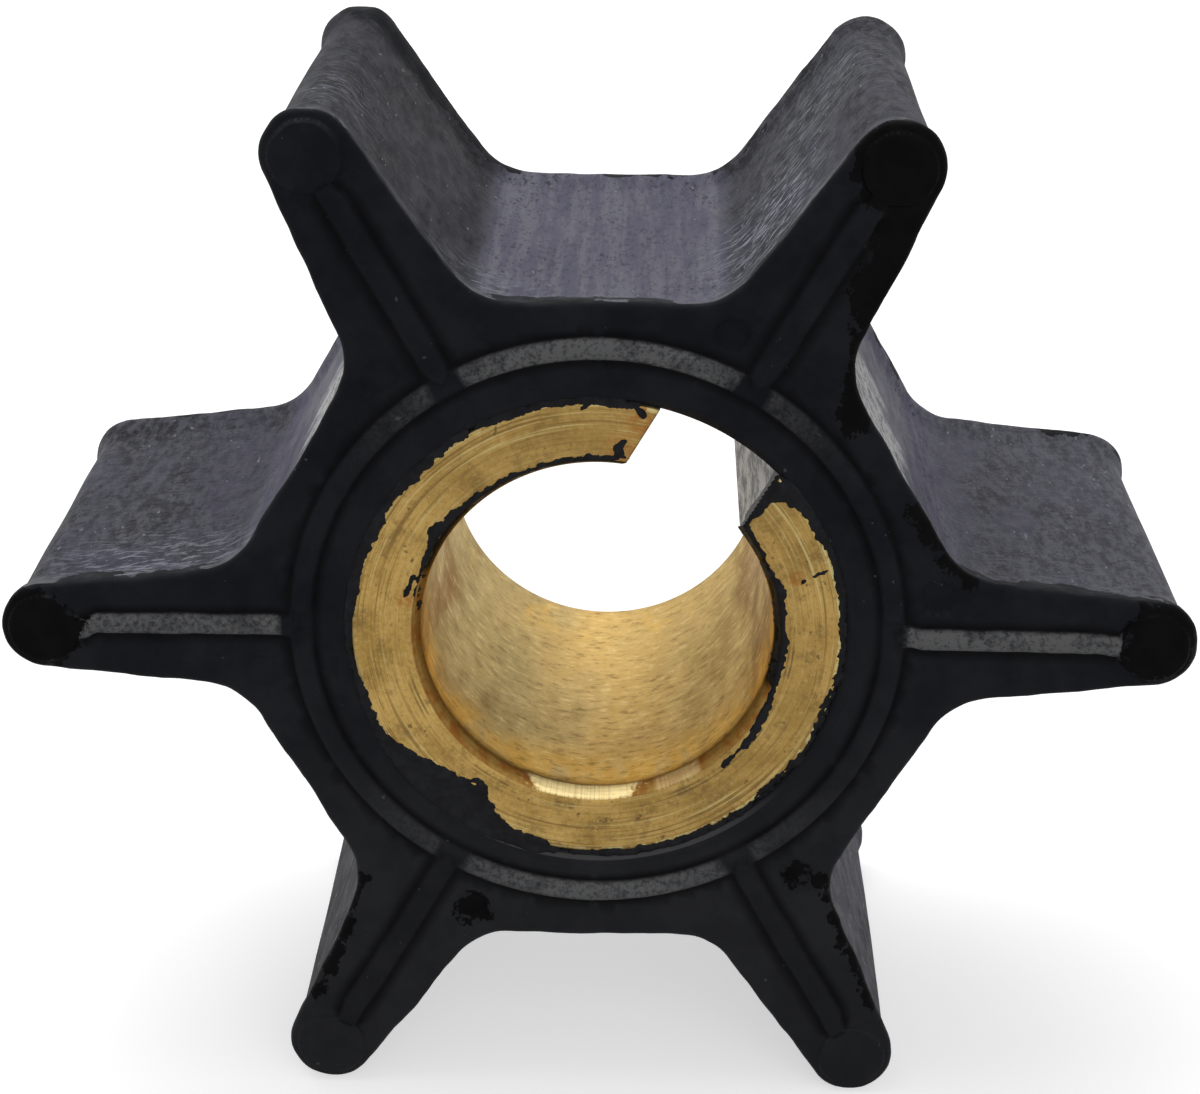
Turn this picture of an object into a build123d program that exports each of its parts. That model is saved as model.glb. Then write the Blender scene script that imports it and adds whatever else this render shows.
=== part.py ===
from build123d import *
import os
from math import acos, atan2, cos, hypot, radians, sin

# Six-vane flexible pump impeller: one rubber moulding on a turned brass bush.
# Millimetres. The bore axis is Y, with the origin on it at mid-width; the front face looks
# along -Y and one vane points along +X. The two lower vanes stand the part on its tips.

# --- driving dimensions --------------------------------------------------------------------
VANE_COUNT = 6
SECTOR = 360 / VANE_COUNT        # degrees from one vane to the next
WIDTH = 24.0                     # over the tip pads, front to back

# moulding outline
TIP_CENTRE_R = 26.0              # bore axis to the centre of a vane's round tip
TIP_R = 2.1                      # radius of the round tip, at the lips
ROOT_STATION_R = 17.0            # where the vane's half width is stated
ROOT_HALF_W = 3.05               # half width of a vane at that station
HUB_FLAT_R = 16.1                # bore axis to the flat between two vanes
ROOT_FILLET_R = 3.3              # fillet between vane flank and hub flat
LIP_RISE = 0.35                  # how far the outline flares out at both ends
LIP_RUN = 2.2                    # width over which it flares
EDGE_BREAK = 0.35                # bevel that ends the outline at each face

# end faces
FACE_DROP = 0.3                  # vane and hub faces lie this far inside the tip pads
PAD_R = TIP_R - EDGE_BREAK       # raised round pad on each tip
BEAD_W = 1.05                    # width of the sealing beads
BEAD_RISE = 0.28                 # height of the beads above the face
RING_BEAD_R = 13.8               # centre line of the ring bead
VANE_BEAD_START_R = 14.9         # a vane bead starts just outside the ring bead
MARK_R = 0.85                    # ejector marks, one beside the root of each vane
MARK_DEPTH = 0.25
MARK_CENTRE_R = 15.9
MARK_TURN = 8.0                  # degrees from the vane's centre line

# bush
BORE_R = 8.0                     # for a 5/8 inch drive shaft
BUSH_R = 11.5
MOUTH_R = 8.7                    # outer radius of the bore's chamfers
BUSH_FRONT_DROP = 0.45           # bush ends, measured from the ends of the moulding
BUSH_BACK_DROP = 1.25
SEAT_CHAMFER = 0.35              # rubber edge broken around the bush
KEY_W = 6.35                     # 1/4 inch key slot, through the whole wall of the bush
KEY_ANGLE = 60.0                 # degrees from +X towards +Z
KEY_OVERRUN = 1.0                # the slot is cut this far past the bush

HALF_W = WIDTH / 2
FACE_Z = HALF_W - FACE_DROP
BUSH_TOP = HALF_W - BUSH_FRONT_DROP
BUSH_BOTTOM = BUSH_BACK_DROP - HALF_W


def polar(radius, degrees):
    """Point in the section plane at a radius and an angle."""
    return Vector(radius * cos(radians(degrees)), radius * sin(radians(degrees)), 0)


def flank_tilt(inset):
    """Tilt in radians of a flank that touches the round tip and passes the root station."""
    run = TIP_CENTRE_R - ROOT_STATION_R
    rise = ROOT_HALF_W - inset
    return acos((TIP_R - inset) / hypot(run, rise)) - atan2(run, rise)


def half_sector(inset):
    """Key points of the outline from a vane's tip to the middle of the next flat."""
    tilt = flank_tilt(inset)
    normal = Vector(sin(tilt), cos(tilt), 0)
    tip_r = TIP_R - inset
    tip_end = Vector(TIP_CENTRE_R, 0, 0) + normal * tip_r
    reach = normal.X * TIP_CENTRE_R + tip_r
    flat_normal = polar(1, SECTOR / 2)
    flat_r = HUB_FLAT_R - inset
    fillet_r = ROOT_FILLET_R + inset
    det = normal.X * flat_normal.Y - normal.Y * flat_normal.X
    side, flat = reach + fillet_r, flat_r + fillet_r
    centre = Vector(
        (side * flat_normal.Y - flat * normal.Y) / det,
        (flat * normal.X - side * flat_normal.X) / det,
        0,
    )
    start = centre - normal * fillet_r
    end = centre - flat_normal * fillet_r
    middle = centre - (normal + flat_normal).normalized() * fillet_r
    return tip_end, start, middle, end


def outline(inset, z):
    """Closed wire around the moulding, moved in by the inset."""
    tip_end, start, middle, end = half_sector(inset)
    tip = Vector(TIP_CENTRE_R + TIP_R - inset, 0, 0)
    edges = []
    for vane in range(VANE_COUNT):
        place = Pos(0, 0, z) * Rot(0, 0, vane * SECTOR)
        upper = [tip_end, start, middle, end]
        lower = [Vector(p.X, -p.Y, 0) for p in upper]
        next_end = Vector(end.X, -end.Y, 0).rotate(Axis.Z, SECTOR)
        sector = [
            ThreePointArc(lower[3], lower[2], lower[1]),
            Line(lower[1], lower[0]),
            ThreePointArc(lower[0], tip, upper[0]),
            Line(upper[0], upper[1]),
            ThreePointArc(upper[1], upper[2], upper[3]),
            Line(upper[3], next_end),
        ]
        edges += [place * edge for edge in sector]
    return Wire(edges)


def loft(low, high):
    """Straight-sided solid between two outlines."""
    return Solid.make_loft([low, high], ruled=True)


def blank():
    """The moulding before its end faces are dressed: straight middle, flared lips, bevels."""
    neck = HALF_W - FACE_DROP - EDGE_BREAK - LIP_RUN
    lip = HALF_W - FACE_DROP - EDGE_BREAK
    middle = loft(outline(LIP_RISE, -neck), outline(LIP_RISE, neck))
    body = middle
    for side in (-1, 1):
        body += loft(outline(LIP_RISE, side * neck), outline(0, side * lip))
        body += loft(outline(0, side * lip), outline(EDGE_BREAK, side * FACE_Z))
    return body


def bead_section():
    """Section of a bead: a low crown on the face, sunk into it to fuse."""
    half = BEAD_W / 2
    sunk = -BEAD_RISE
    crown = ThreePointArc((-half, 0), (0, BEAD_RISE), (half, 0))
    sides = Polyline((half, 0), (half, sunk), (-half, sunk), (-half, 0))
    return make_face([crown, sides])


def ring_bead():
    """Bead that runs once round the hub."""
    section = Pos(RING_BEAD_R, 0, FACE_Z) * Rot(90, 0, 0) * bead_section()
    return revolve(section, Axis.Z, 360)


def vane_bead():
    """Straight bead along the middle of one vane, from the ring to the tip pad."""
    length = TIP_CENTRE_R - VANE_BEAD_START_R
    section = Plane(origin=(VANE_BEAD_START_R, 0, FACE_Z), x_dir=(0, 1, 0), z_dir=(1, 0, 0))
    return extrude(section * bead_section(), length)


def tip_pad():
    """Raised round pad on a vane's tip, with its rim broken."""
    pad = Pos(TIP_CENTRE_R, 0, FACE_Z) * Cylinder(PAD_R, 2 * FACE_DROP)
    rim = pad.edges().group_by(Axis.Z)[-1]
    return chamfer(rim, FACE_DROP / 2)


def ejector_mark():
    """Shallow round recess beside a vane's root."""
    return Pos(polar(MARK_CENTRE_R, MARK_TURN) + Vector(0, 0, FACE_Z)) * Cylinder(
        MARK_R, 2 * MARK_DEPTH
    )


def face_features():
    """What is raised on one end face and what is sunk into it."""
    raised = ring_bead()
    sunk = []
    for vane in range(VANE_COUNT):
        turn = Rot(0, 0, vane * SECTOR)
        raised += turn * vane_bead()
        raised += turn * tip_pad()
        sunk.append(turn * ejector_mark())
    return raised, sunk


def bush_seat():
    """Space that the bush and its mouths take out of the moulding."""
    seat = Cylinder(BUSH_R, 2 * WIDTH)
    for side in (-1, 1):
        rim = Cone(BUSH_R, BUSH_R + SEAT_CHAMFER, SEAT_CHAMFER)
        rim = Pos(0, 0, FACE_Z - SEAT_CHAMFER / 2) * rim
        seat += rim if side == 1 else Rot(180, 0, 0) * rim
    return seat


def key_slot():
    """Parallel-sided slot from the bore out through the wall of the bush."""
    depth = BUSH_R + KEY_OVERRUN
    return Rot(0, 0, KEY_ANGLE) * Pos(depth / 2, 0, 0) * Box(depth, KEY_W, 2 * WIDTH)


def rubber_body():
    """Hub ring and six vanes as one moulding."""
    raised, sunk = face_features()
    body = blank() + raised + Rot(180, 0, 0) * raised
    for mark in sunk:
        body -= mark
        body -= Rot(180, 0, 0) * mark
    return body - bush_seat()


def brass_bush():
    """C-section bush with a chamfer at each mouth of its bore."""
    length = BUSH_TOP - BUSH_BOTTOM
    middle = (BUSH_TOP + BUSH_BOTTOM) / 2
    mouth = MOUTH_R - BORE_R
    bush = Cylinder(BUSH_R, length) - Cylinder(BORE_R, length)
    for side in (-1, 1):
        cone = Pos(0, 0, (length - mouth) / 2) * Cone(BORE_R, MOUTH_R, mouth)
        bush -= cone if side == 1 else Rot(180, 0, 0) * cone
    return Pos(0, 0, middle) * bush - key_slot()


def stand(shape):
    """Turn the drawing so that its +Z, the front, looks along -Y and its +Y points up."""
    return Rot(90, 0, 0) * shape


def main():
    """Build both pieces and write one STEP file for each."""
    os.makedirs("parts", exist_ok=True)
    export_step(stand(rubber_body()), "parts/rubber_body.step")
    export_step(stand(brass_bush()), "parts/brass_bush.step")


main()
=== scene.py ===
"""Six-vane rubber pump impeller on its turned brass bush, dressed around the CAD frame.

The bore axis is Y and the front face looks along -Y. Sizes in the classes are millimetres;
every mesh is written in metres, in place, on an object that stays at the origin.
"""

import logging
import math
from dataclasses import dataclass, field
from enum import IntEnum

import bmesh
import bpy
import numpy as np
from bpy.types import ID, Material, Mesh, Modifier, Node, NodeTree, Object, NodeSocket as Socket
from mathutils import Matrix, Vector, kdtree, noise
from mathutils.geometry import delaunay_2d_cdt


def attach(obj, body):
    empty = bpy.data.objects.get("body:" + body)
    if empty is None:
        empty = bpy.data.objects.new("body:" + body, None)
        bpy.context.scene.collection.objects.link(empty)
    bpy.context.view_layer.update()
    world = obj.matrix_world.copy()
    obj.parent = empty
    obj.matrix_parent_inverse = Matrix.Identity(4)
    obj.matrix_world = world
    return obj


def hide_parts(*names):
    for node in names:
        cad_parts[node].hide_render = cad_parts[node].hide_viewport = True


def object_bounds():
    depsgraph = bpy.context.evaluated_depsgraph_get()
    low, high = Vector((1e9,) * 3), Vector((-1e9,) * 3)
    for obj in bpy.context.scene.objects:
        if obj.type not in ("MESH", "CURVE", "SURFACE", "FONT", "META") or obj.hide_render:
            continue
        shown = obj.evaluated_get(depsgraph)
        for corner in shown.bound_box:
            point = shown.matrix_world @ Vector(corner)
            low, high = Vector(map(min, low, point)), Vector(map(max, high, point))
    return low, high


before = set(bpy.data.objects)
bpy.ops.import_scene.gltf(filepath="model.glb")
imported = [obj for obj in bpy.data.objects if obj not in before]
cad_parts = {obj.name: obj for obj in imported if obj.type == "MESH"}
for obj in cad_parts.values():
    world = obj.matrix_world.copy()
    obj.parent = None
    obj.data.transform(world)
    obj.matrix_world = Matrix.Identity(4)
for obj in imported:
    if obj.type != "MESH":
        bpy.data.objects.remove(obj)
CAD_BOX = [list(corner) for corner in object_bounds()]
MM = 0.001
TINY = 1e-6
NOISE_FALL = 1.0
NOISE_STEP = 2.0
LOG = logging.getLogger("impeller")

Colour = tuple[float, float, float, float]
Range = tuple[float, ...]
WHITE = (1, 1, 1, 1)


# --- small helpers ----------------------------------------------------


def smooth(low: float, high: float, value: np.ndarray) -> np.ndarray:
    """Ease from 0 at low to 1 at high.

    Args:
        low: Value that gives 0.
        high: Value that gives 1.
        value: Numbers to ease.

    Returns:
        The eased numbers, from 0 to 1.
    """
    t = np.clip((value - low) / (high - low), 0, 1)
    return t * t * (3 - 2 * t)


def mask_at(limit: float, offsets: Range, distance: np.ndarray) -> np.ndarray:
    """Mask of distances: 0 at the first offset from a limit, 1 at the second, eased between them."""
    return smooth(limit + offsets[0], limit + offsets[1], distance)


def ring_points(radius: float | np.ndarray, turns: float | np.ndarray) -> np.ndarray:
    """Points in the section plane at a radius, one row for each turn in radians."""
    return np.stack([radius * np.cos(turns), radius * np.sin(turns)], -1)


def field_noise(points: np.ndarray, wavelength: float, seed: float, octaves: int = 2) -> np.ndarray:
    """Fractal noise at each point.

    Args:
        points: Places in millimetres, one row each.
        wavelength: Size of the largest features, in millimetres.
        seed: Offset that picks another pattern.
        octaves: How many finer layers are added.

    Returns:
        One number for each point, about -1 to 1.
    """
    shifted = points / wavelength + seed
    return np.array([noise.fractal(Vector(p), NOISE_FALL, NOISE_STEP, octaves) for p in shifted])


def sideways(x: np.ndarray, z: np.ndarray) -> np.ndarray:
    """Places or shifts across the bore axis, one row for each vertex."""
    return np.stack([x, np.zeros(len(x)), z], 1)


def mesh_object(name: str, points: np.ndarray, faces: list, material: Material) -> Object:
    """Make a smooth-shaded mesh object from points in millimetres.

    Args:
        name: Name of the piece.
        points: Vertices in millimetres.
        faces: Vertex numbers of each face.
        material: Finish of the piece.

    Returns:
        The new object, linked to the scene.
    """
    mesh = bpy.data.meshes.new(name)
    mesh.from_pydata((np.asarray(points) * MM).tolist(), [], faces)
    mesh.materials.append(material)
    mesh.polygons.foreach_set("use_smooth", [True] * len(mesh.polygons))
    return link_object(name, mesh)


def link_object(name: str, data: ID) -> Object:
    """Make an object that shows a mesh, a light or a camera.

    Args:
        name: Name of the object.
        data: What it shows.

    Returns:
        The new object, linked to the scene.
    """
    made = bpy.data.objects.new(name, data)
    bpy.context.scene.collection.objects.link(made)
    return made


def set_attribute(mesh: Mesh, name: str, values: np.ndarray) -> None:
    """Write one number per vertex as a named attribute.

    Args:
        mesh: Mesh that gets the attribute.
        name: Name that its material reads.
        values: One number for each vertex.
    """
    layer = mesh.attributes.get(name) or mesh.attributes.new(name, "FLOAT", "POINT")
    layer.data.foreach_set("value", np.asarray(values, dtype=np.float32))


def get_attribute(mesh: Mesh, name: str) -> np.ndarray:
    """Read a per-vertex attribute.

    Args:
        mesh: Mesh that holds it.
        name: Its name.

    Returns:
        One number for each vertex.
    """
    values = np.zeros(len(mesh.vertices), dtype=np.float32)
    mesh.attributes[name].data.foreach_get("value", values)
    return values


def vertex_places(mesh: Mesh) -> np.ndarray:
    """Read the vertices of a mesh.

    Args:
        mesh: Mesh to read.

    Returns:
        Places in millimetres, one row each.
    """
    flat = np.empty(len(mesh.vertices) * 3)
    mesh.vertices.foreach_get("co", flat)
    return flat.reshape(-1, 3) / MM


def close_up(mesh: Mesh, distance: float) -> None:
    """Merge doubled vertices and turn every face outwards.

    Args:
        mesh: Mesh to clean.
        distance: Merge distance in millimetres.
    """
    work = bmesh.new()
    work.from_mesh(mesh)
    bmesh.ops.remove_doubles(work, verts=work.verts, dist=distance * MM)
    bmesh.ops.recalc_face_normals(work, faces=work.faces)
    work.to_mesh(mesh)
    work.free()


# --- node trees -------------------------------------------------------


@dataclass(frozen=True)
class Grain:
    """A noise pattern: features per millimetre, layers of finer noise, and their weight.

    Its span holds the two noise values that it is eased between, and then the two numbers
    that they become, which are 0 and 1 where it doesn't say.
    """

    scale: float
    detail: float = 3.0
    rough: float = 0.55
    span: Range = (0.0, 1.0)


class Graph:
    """Adds and wires the nodes of one tree."""

    def __init__(self, tree: NodeTree) -> None:
        """Keep the tree that the nodes go into."""
        self.tree = tree

    def plug(self, socket: Socket, value: object) -> None:
        """Link an input to a socket, or set the input's own value.

        Args:
            socket: Input of a node.
            value: Socket or plain value that it gets.
        """
        if isinstance(value, Socket):
            self.tree.links.new(value, socket)
        else:
            socket.default_value = value

    def add(self, kind: str, inputs: dict | None = None, **settings: object) -> Node:
        """Add one node.

        Args:
            kind: Blender's name for the node type.
            inputs: Values or sockets for its inputs, by name or number.
            **settings: Properties to set on the node.

        Returns:
            The new node.
        """
        node = self.tree.nodes.new(kind)
        for name, value in settings.items():
            setattr(node, name, value)
        for key, value in (inputs or {}).items():
            self.plug(node.inputs[key], value)
        return node

    def math(self, operation: str, first: object, second: object = 0.0) -> Socket:
        """Combine two numbers or sockets with a Math node's operation."""
        return self.add("ShaderNodeMath", {0: first, 1: second}, operation=operation).outputs[0]

    def times(self, first: object, second: object) -> Socket:
        """Product of two numbers or sockets."""
        return self.math("MULTIPLY", first, second)

    def plus(self, first: object, second: object) -> Socket:
        """Sum of two numbers or sockets."""
        return self.math("ADD", first, second)

    def minus(self, first: object, second: object) -> Socket:
        """First number or socket less the second."""
        return self.math("SUBTRACT", first, second)

    def apart(self, first: object, second: object) -> Socket:
        """How far two numbers or sockets are apart."""
        return self.math("ABSOLUTE", self.minus(first, second))

    def largest(self, first: object, *others: object) -> Socket:
        """Largest of some numbers or sockets.

        Args:
            first: First number or socket.
            *others: The rest.

        Returns:
            The result's socket.
        """
        top = first
        for other in others:
            top = self.math("MAXIMUM", top, other)
        return top

    def ease(self, value: object, low: float, high: float, start: float = 0.0, end: float = 1.0) -> Socket:
        """Smoothly map a range of numbers onto another.

        Args:
            value: Number or socket to map.
            low: Value that gives start.
            high: Value that gives end.
            start: Result at low.
            end: Result at high.

        Returns:
            The mapped socket.
        """
        names = {"Value": value, "From Min": low, "From Max": high, "To Min": start, "To Max": end}
        return self.add("ShaderNodeMapRange", names, interpolation_type="SMOOTHSTEP").outputs[0]

    def mix(self, factor: object, first: object, second: object) -> Socket:
        """Mix two colours, or two numbers.

        Args:
            factor: Share of the second one, kept from 0 to 1.
            first: Colour or socket.
            second: Colour or socket.

        Returns:
            The mixed socket.
        """
        node = self.add("ShaderNodeMix", {0: factor, 6: first, 7: second}, data_type="RGBA")
        node.clamp_factor = True
        return node.outputs[2]

    def noise(self, vector: Socket, grain: Grain) -> Socket:
        """Noise around 0.5.

        Args:
            vector: Coordinates in millimetres.
            grain: Pattern of the noise; its span isn't used.

        Returns:
            The noise's socket.
        """
        names = {"Vector": vector, "Scale": grain.scale, "Detail": grain.detail, "Roughness": grain.rough}
        return self.add("ShaderNodeTexNoise", names).outputs["Fac"]

    def patches(self, vector: Socket, grain: Grain) -> Socket:
        """Noise that is eased over its span, at these coordinates in millimetres."""
        return self.ease(self.noise(vector, grain), *grain.span)

    def vector(self, x: object, y: object, z: object) -> Socket:
        """Join three numbers into a vector socket."""
        return self.add("ShaderNodeCombineXYZ", {0: x, 1: y, 2: z}).outputs[0]

    def attribute(self, name: str) -> Socket:
        """Number that the mesh carries under this name."""
        return self.add("ShaderNodeAttribute", attribute_name=name).outputs["Fac"]

    def seen_directly(self) -> Socket:
        """1 for what the camera sees, straight or by a mirror or through glass, and 0 for light."""
        rays = self.add("ShaderNodeLightPath").outputs
        return self.largest(*(rays[f"Is {kind} Ray"] for kind in ("Glossy", "Transmission", "Camera")))


class Paint(Graph):
    """Tree of one material, with the coordinates in millimetres that its patterns read.

    Patterns on drawn come out stretched along the bore; around_x and around_z are a unit
    vector round the axis.
    """

    DRAWN_SHARE = 0.38

    def __init__(self, name: str) -> None:
        """Make the material, and work the coordinates out from Object coordinates.

        Args:
            name: Name of the material.
        """
        self.material = bpy.data.materials.new(name)
        self.material.use_nodes = True
        super().__init__(self.material.node_tree)
        place = self.add("ShaderNodeTexCoord").outputs["Object"]
        self.point = self.add("ShaderNodeVectorMath", {0: place, 3: 1 / MM}, operation="SCALE").outputs[0]
        self.x, self.depth, self.z = self.add("ShaderNodeSeparateXYZ", {0: self.point}).outputs
        self.drawn = self.along_bore(self.DRAWN_SHARE)
        flat = self.vector(self.x, 0.0, self.z)
        self.radius = self.add("ShaderNodeVectorMath", {0: flat}, operation="LENGTH").outputs["Value"]
        self.around_x = self.math("DIVIDE", self.x, self.radius)
        self.around_z = self.math("DIVIDE", self.z, self.radius)

    def along_bore(self, share: float) -> Socket:
        """Coordinates that count depth at a share, so that patterns stretch along the bore."""
        return self.vector(self.x, self.times(self.depth, share), self.z)

    def round_axis(self, rings: float) -> Socket:
        """Coordinates whose patterns come out as this many fine rings to the millimetre."""
        return self.vector(self.times(self.radius, rings), self.around_x, self.around_z)

    def finished(
        self, colour: Socket, rough: object, height: Socket, relief: float, constants: dict
    ) -> Material:
        """Wire the Principled shader.

        Args:
            colour: Base colour.
            rough: Roughness, as a number or a socket.
            height: Height from about 0 to 1, for the bump.
            relief: Depth of that range in millimetres.
            constants: Other inputs of the shader, and their values.

        Returns:
            The finished material.
        """
        shader = self.tree.nodes["Principled BSDF"]
        bump = self.add("ShaderNodeBump", {"Height": height, "Strength": 1.0, "Distance": relief * MM})
        wired = {"Base Color": colour, "Roughness": rough, "Normal": bump.outputs[0]}
        for name, value in (wired | constants).items():
            self.plug(shader.inputs[name], value)
        return self.material


# --- finishes ---------------------------------------------------------


@dataclass(frozen=True)
class MouldedRubberFinish:
    """Black rubber: smooth dark end faces, and flanks with a grey, brushed bloom whose grey is partly painted
    sheen, the reflection of white surroundings.
    """

    face_dark: Colour = (0.0066, 0.0071, 0.0094, 1)
    face_light: Colour = (0.0112, 0.0118, 0.0146, 1)
    face_low: Colour = (0.0215, 0.0220, 0.0245, 1)
    # the flank greys and blues below are partly the rubber's grey bloom and partly painted sheen, the
    # reflection of white surroundings
    vane_grey: Colour = (0.022, 0.022, 0.027, 1)
    vane_pale: Colour = (0.086, 0.087, 0.104, 1)
    hub_blue: Colour = (0.082, 0.078, 0.112, 1)
    hub_pale: Colour = (0.126, 0.124, 0.152, 1)
    hub_dark: Colour = (0.030, 0.031, 0.043, 1)
    dark: Colour = (0.009, 0.009, 0.011, 1)
    streak: Colour = (0.330, 0.345, 0.400, 1)
    glare: Colour = (0.540, 0.536, 0.532, 1)
    # pale grey of painted highlights, on the bead crowns partly also wear
    wear_and_highlight: Colour = (0.120, 0.121, 0.124, 1)
    # near black for the smears, and for painted shade on beads and in creases
    black_and_shade: Colour = (0.0005, 0.0005, 0.0006, 1)

    # where black from the end faces ends on the flanks, and how ragged that limit is
    front_limit: float = 10.6
    back_limit: float = 11.40
    limit_change: Range = (-1.0, 1.0)
    limit_soft: float = 0.05
    limit_broad: Grain = Grain(0.26, 3.0, 0.6, (0.35, 0.65, -1.1, 0.9))
    limit_fine: Grain = Grain(1.6, 3.0, 0.7, (0.25, 0.75, -0.4, 0.4))
    # painted highlight: a pale broken line on the lip beside the front edge
    lip_highlight: float = 0.5
    lip_highlight_breaks: Grain = Grain(0.8, 3.0, 0.7, (0.42, 0.58, 0.15, 0.8))

    # vane flanks: slant and stretch of both sets of scores, and the bloom between them, which is partly
    # painted sheen
    score_sets: tuple[tuple[float, float], ...] = ((0.12, 0.18), (-0.50, 0.26))
    score_grain: Grain = Grain(4.0, 3.0, 0.6)
    score_vane_shift: float = 7.3
    score_pale: Range = (0.54, 0.66, 0.0, 0.35)
    score_dark: Range = (0.47, 0.38, 0.0, 0.60)
    score_bright: Range = (0.56, 0.63)
    rub_shade: Grain = Grain(0.5, 3.0, 0.6, (0.54, 0.46, 0.0, 0.85))
    bloom_and_sheen: Grain = Grain(2.2, 4.0, 0.78, (0.40, 0.62))
    bloom_and_sheen_rise: float = 0.4
    tint: Grain = Grain(0.20, 2.0, 0.6, (0.42, 0.58, 0.0, 0.55))
    vane_specks: Grain = Grain(1.8, 3.0, 0.65, (0.54, 0.64, 0.0, 0.25))
    flecks: Grain = Grain(3.6, 2.0, 0.5, (0.69, 0.75, 0.0, 0.4))
    flank_rough: Grain = Grain(1.2, 2.0, span=(0.3, 0.7, 0.48, 0.60))
    flank_ior: float = 1.12
    flank_specular: float = 0.45

    # hub flats: streaks along the bore, and specks in clusters
    hub_range: Range = (17.5, 16.3)
    hub_stretch: float = 0.07
    hub_streaks: Grain = Grain(1.3, 4.0, 0.7, (0.40, 0.62, 0.0, 0.9))
    hub_grain: Grain = Grain(3.6, 3.0, 0.7, (0.50, 0.64, 0.0, 0.50))
    hub_specks: Grain = Grain(4.0, 2.0, 0.6, (0.59, 0.66))
    hub_clusters: Grain = Grain(0.20, 2.0, 0.5, (0.44, 0.58, 0.0, 0.8))
    hub_rise: float = 0.5

    # patches painted pale as the reflection of white surroundings at grazing angles
    glare_grain: Grain = Grain(2.6, 4.0, 0.75, (0.58, 0.48, 0.25, 1.0))
    glare_fray: Range = (0.3, 0.7, -0.3, 0.3)
    glare_bays: Grain = Grain(0.35, 4.0, 0.65, (0.3, 0.7, -0.5, 0.5))
    glare_start: Range = (0.0, 0.5)
    glare_cover: Range = (0.05, 1.0, 0.0, 0.9)

    # end faces: paler below, turned lines on the land inside the ring bead, bead crowns painted pale where
    # they face the light and partly worn, painted shade in the creases
    face_mottle: Grain = Grain(0.28, 5.0, 0.66, (0.38, 0.64))
    face_below: Range = (3.0, -17.0, 0.0, 0.85)
    face_mottle_below: Range = (0.0, 1.0, 0.7, 1.0)
    face_rough: Grain = Grain(0.9, 2.0, span=(0.3, 0.7, 0.50, 0.70))
    face_specular: float = 0.05
    land_range: Range = (13.4, 13.1)
    land_rings: float = 5.0
    land_lines: Grain = Grain(1.0, 3.0, 0.7, (0.50, 0.68, 0.0, 0.45))
    crown_grain: Grain = Grain(3.6, 4.0, 0.75, (0.36, 0.60, 0.30, 1.0))
    crown_patches: Grain = Grain(0.55, span=(0.34, 0.52, 0.55, 1.0))
    crease_shade: float = 0.8
    face_flecks: Grain = Grain(2.3, 2.0, 0.4, (0.74, 0.78, 0.0, 0.55))
    smear_edge: Grain = Grain(1.3, 5.0, 0.7, (0.25, 0.75, -0.5, 0.5))
    smear_soft: float = 0.03
    skin: Grain = Grain(6.0, 3.0, 0.6)
    skin_rise: float = 0.5
    land_rise: float = 0.35
    # painted glint on the seat's broken edge below the bush
    glint_r: float = 11.78
    glint_half: Range = (0.13, 0.05)
    glint_below: Range = (-0.62, -0.92, 0.0, 0.45)
    relief: float = 0.05

    def build(self) -> tuple[Material, Material]:
        """Make the finish of the flanks and that of the end faces."""
        return self._flanks(), self._faces()

    def _flanks(self) -> Material:
        """Finish everything that runs from one end face to the other.

        Returns:
            The finished material.
        """
        paint = Paint("rubber_flank")
        colour, height = self._flank(paint)
        colour = paint.mix(self._under_face_black(paint), colour, self.face_dark)
        rough = paint.patches(paint.drawn, self.flank_rough)
        constants = {"IOR": self.flank_ior, "Specular IOR Level": self.flank_specular}
        return paint.finished(colour, rough, height, self.relief, constants)

    def _faces(self) -> Material:
        """Finish the end faces and their rounded edges.

        Returns:
            The finished material.
        """
        paint = Paint("rubber_face")
        colour, height = self._face(paint)
        rough = paint.patches(paint.point, self.face_rough)
        return paint.finished(colour, rough, height, self.relief, {"Specular IOR Level": self.face_specular})

    def _under_face_black(self, paint: Paint) -> Socket:
        """Find where black creeps from the end faces over the flank, with a ragged limit.

        Args:
            paint: Tree of the flank's material.

        Returns:
            Mask of the black.
        """
        limit = paint.ease(paint.depth, *self.limit_change, self.front_limit, self.back_limit)
        over = paint.minus(paint.math("ABSOLUTE", paint.depth), limit)
        over = paint.plus(over, paint.attribute("creep"))
        broad = paint.patches(paint.point, self.limit_broad)
        fine = paint.patches(paint.point, self.limit_fine)
        return paint.ease(paint.plus(over, paint.plus(broad, fine)), -self.limit_soft, self.limit_soft)

    def _scored(self, paint: Paint) -> Socket:
        """Lay short scores on the vanes, in two sets that cross.

        Args:
            paint: Tree of the flank's material.

        Returns:
            Pattern of the scores.
        """
        run, vane = paint.attribute("run"), paint.attribute("vane")
        sets = []
        for slant, stretch in self.score_sets:
            lengthwise = paint.plus(run, paint.times(paint.depth, slant))
            sidewise = paint.minus(paint.depth, paint.times(run, slant))
            shift = paint.times(vane, self.score_vane_shift)
            place = paint.vector(paint.times(lengthwise, stretch), sidewise, shift)
            sets.append(paint.noise(place, self.score_grain))
        return paint.largest(*sets)

    def _flank(self, paint: Paint) -> tuple[Socket, Socket]:
        """Dress the flanks: scored vanes, and mottled hub flats.

        Args:
            paint: Tree of the flank's material.

        Returns:
            Colour and height.
        """
        scored = self._scored(paint)
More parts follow.
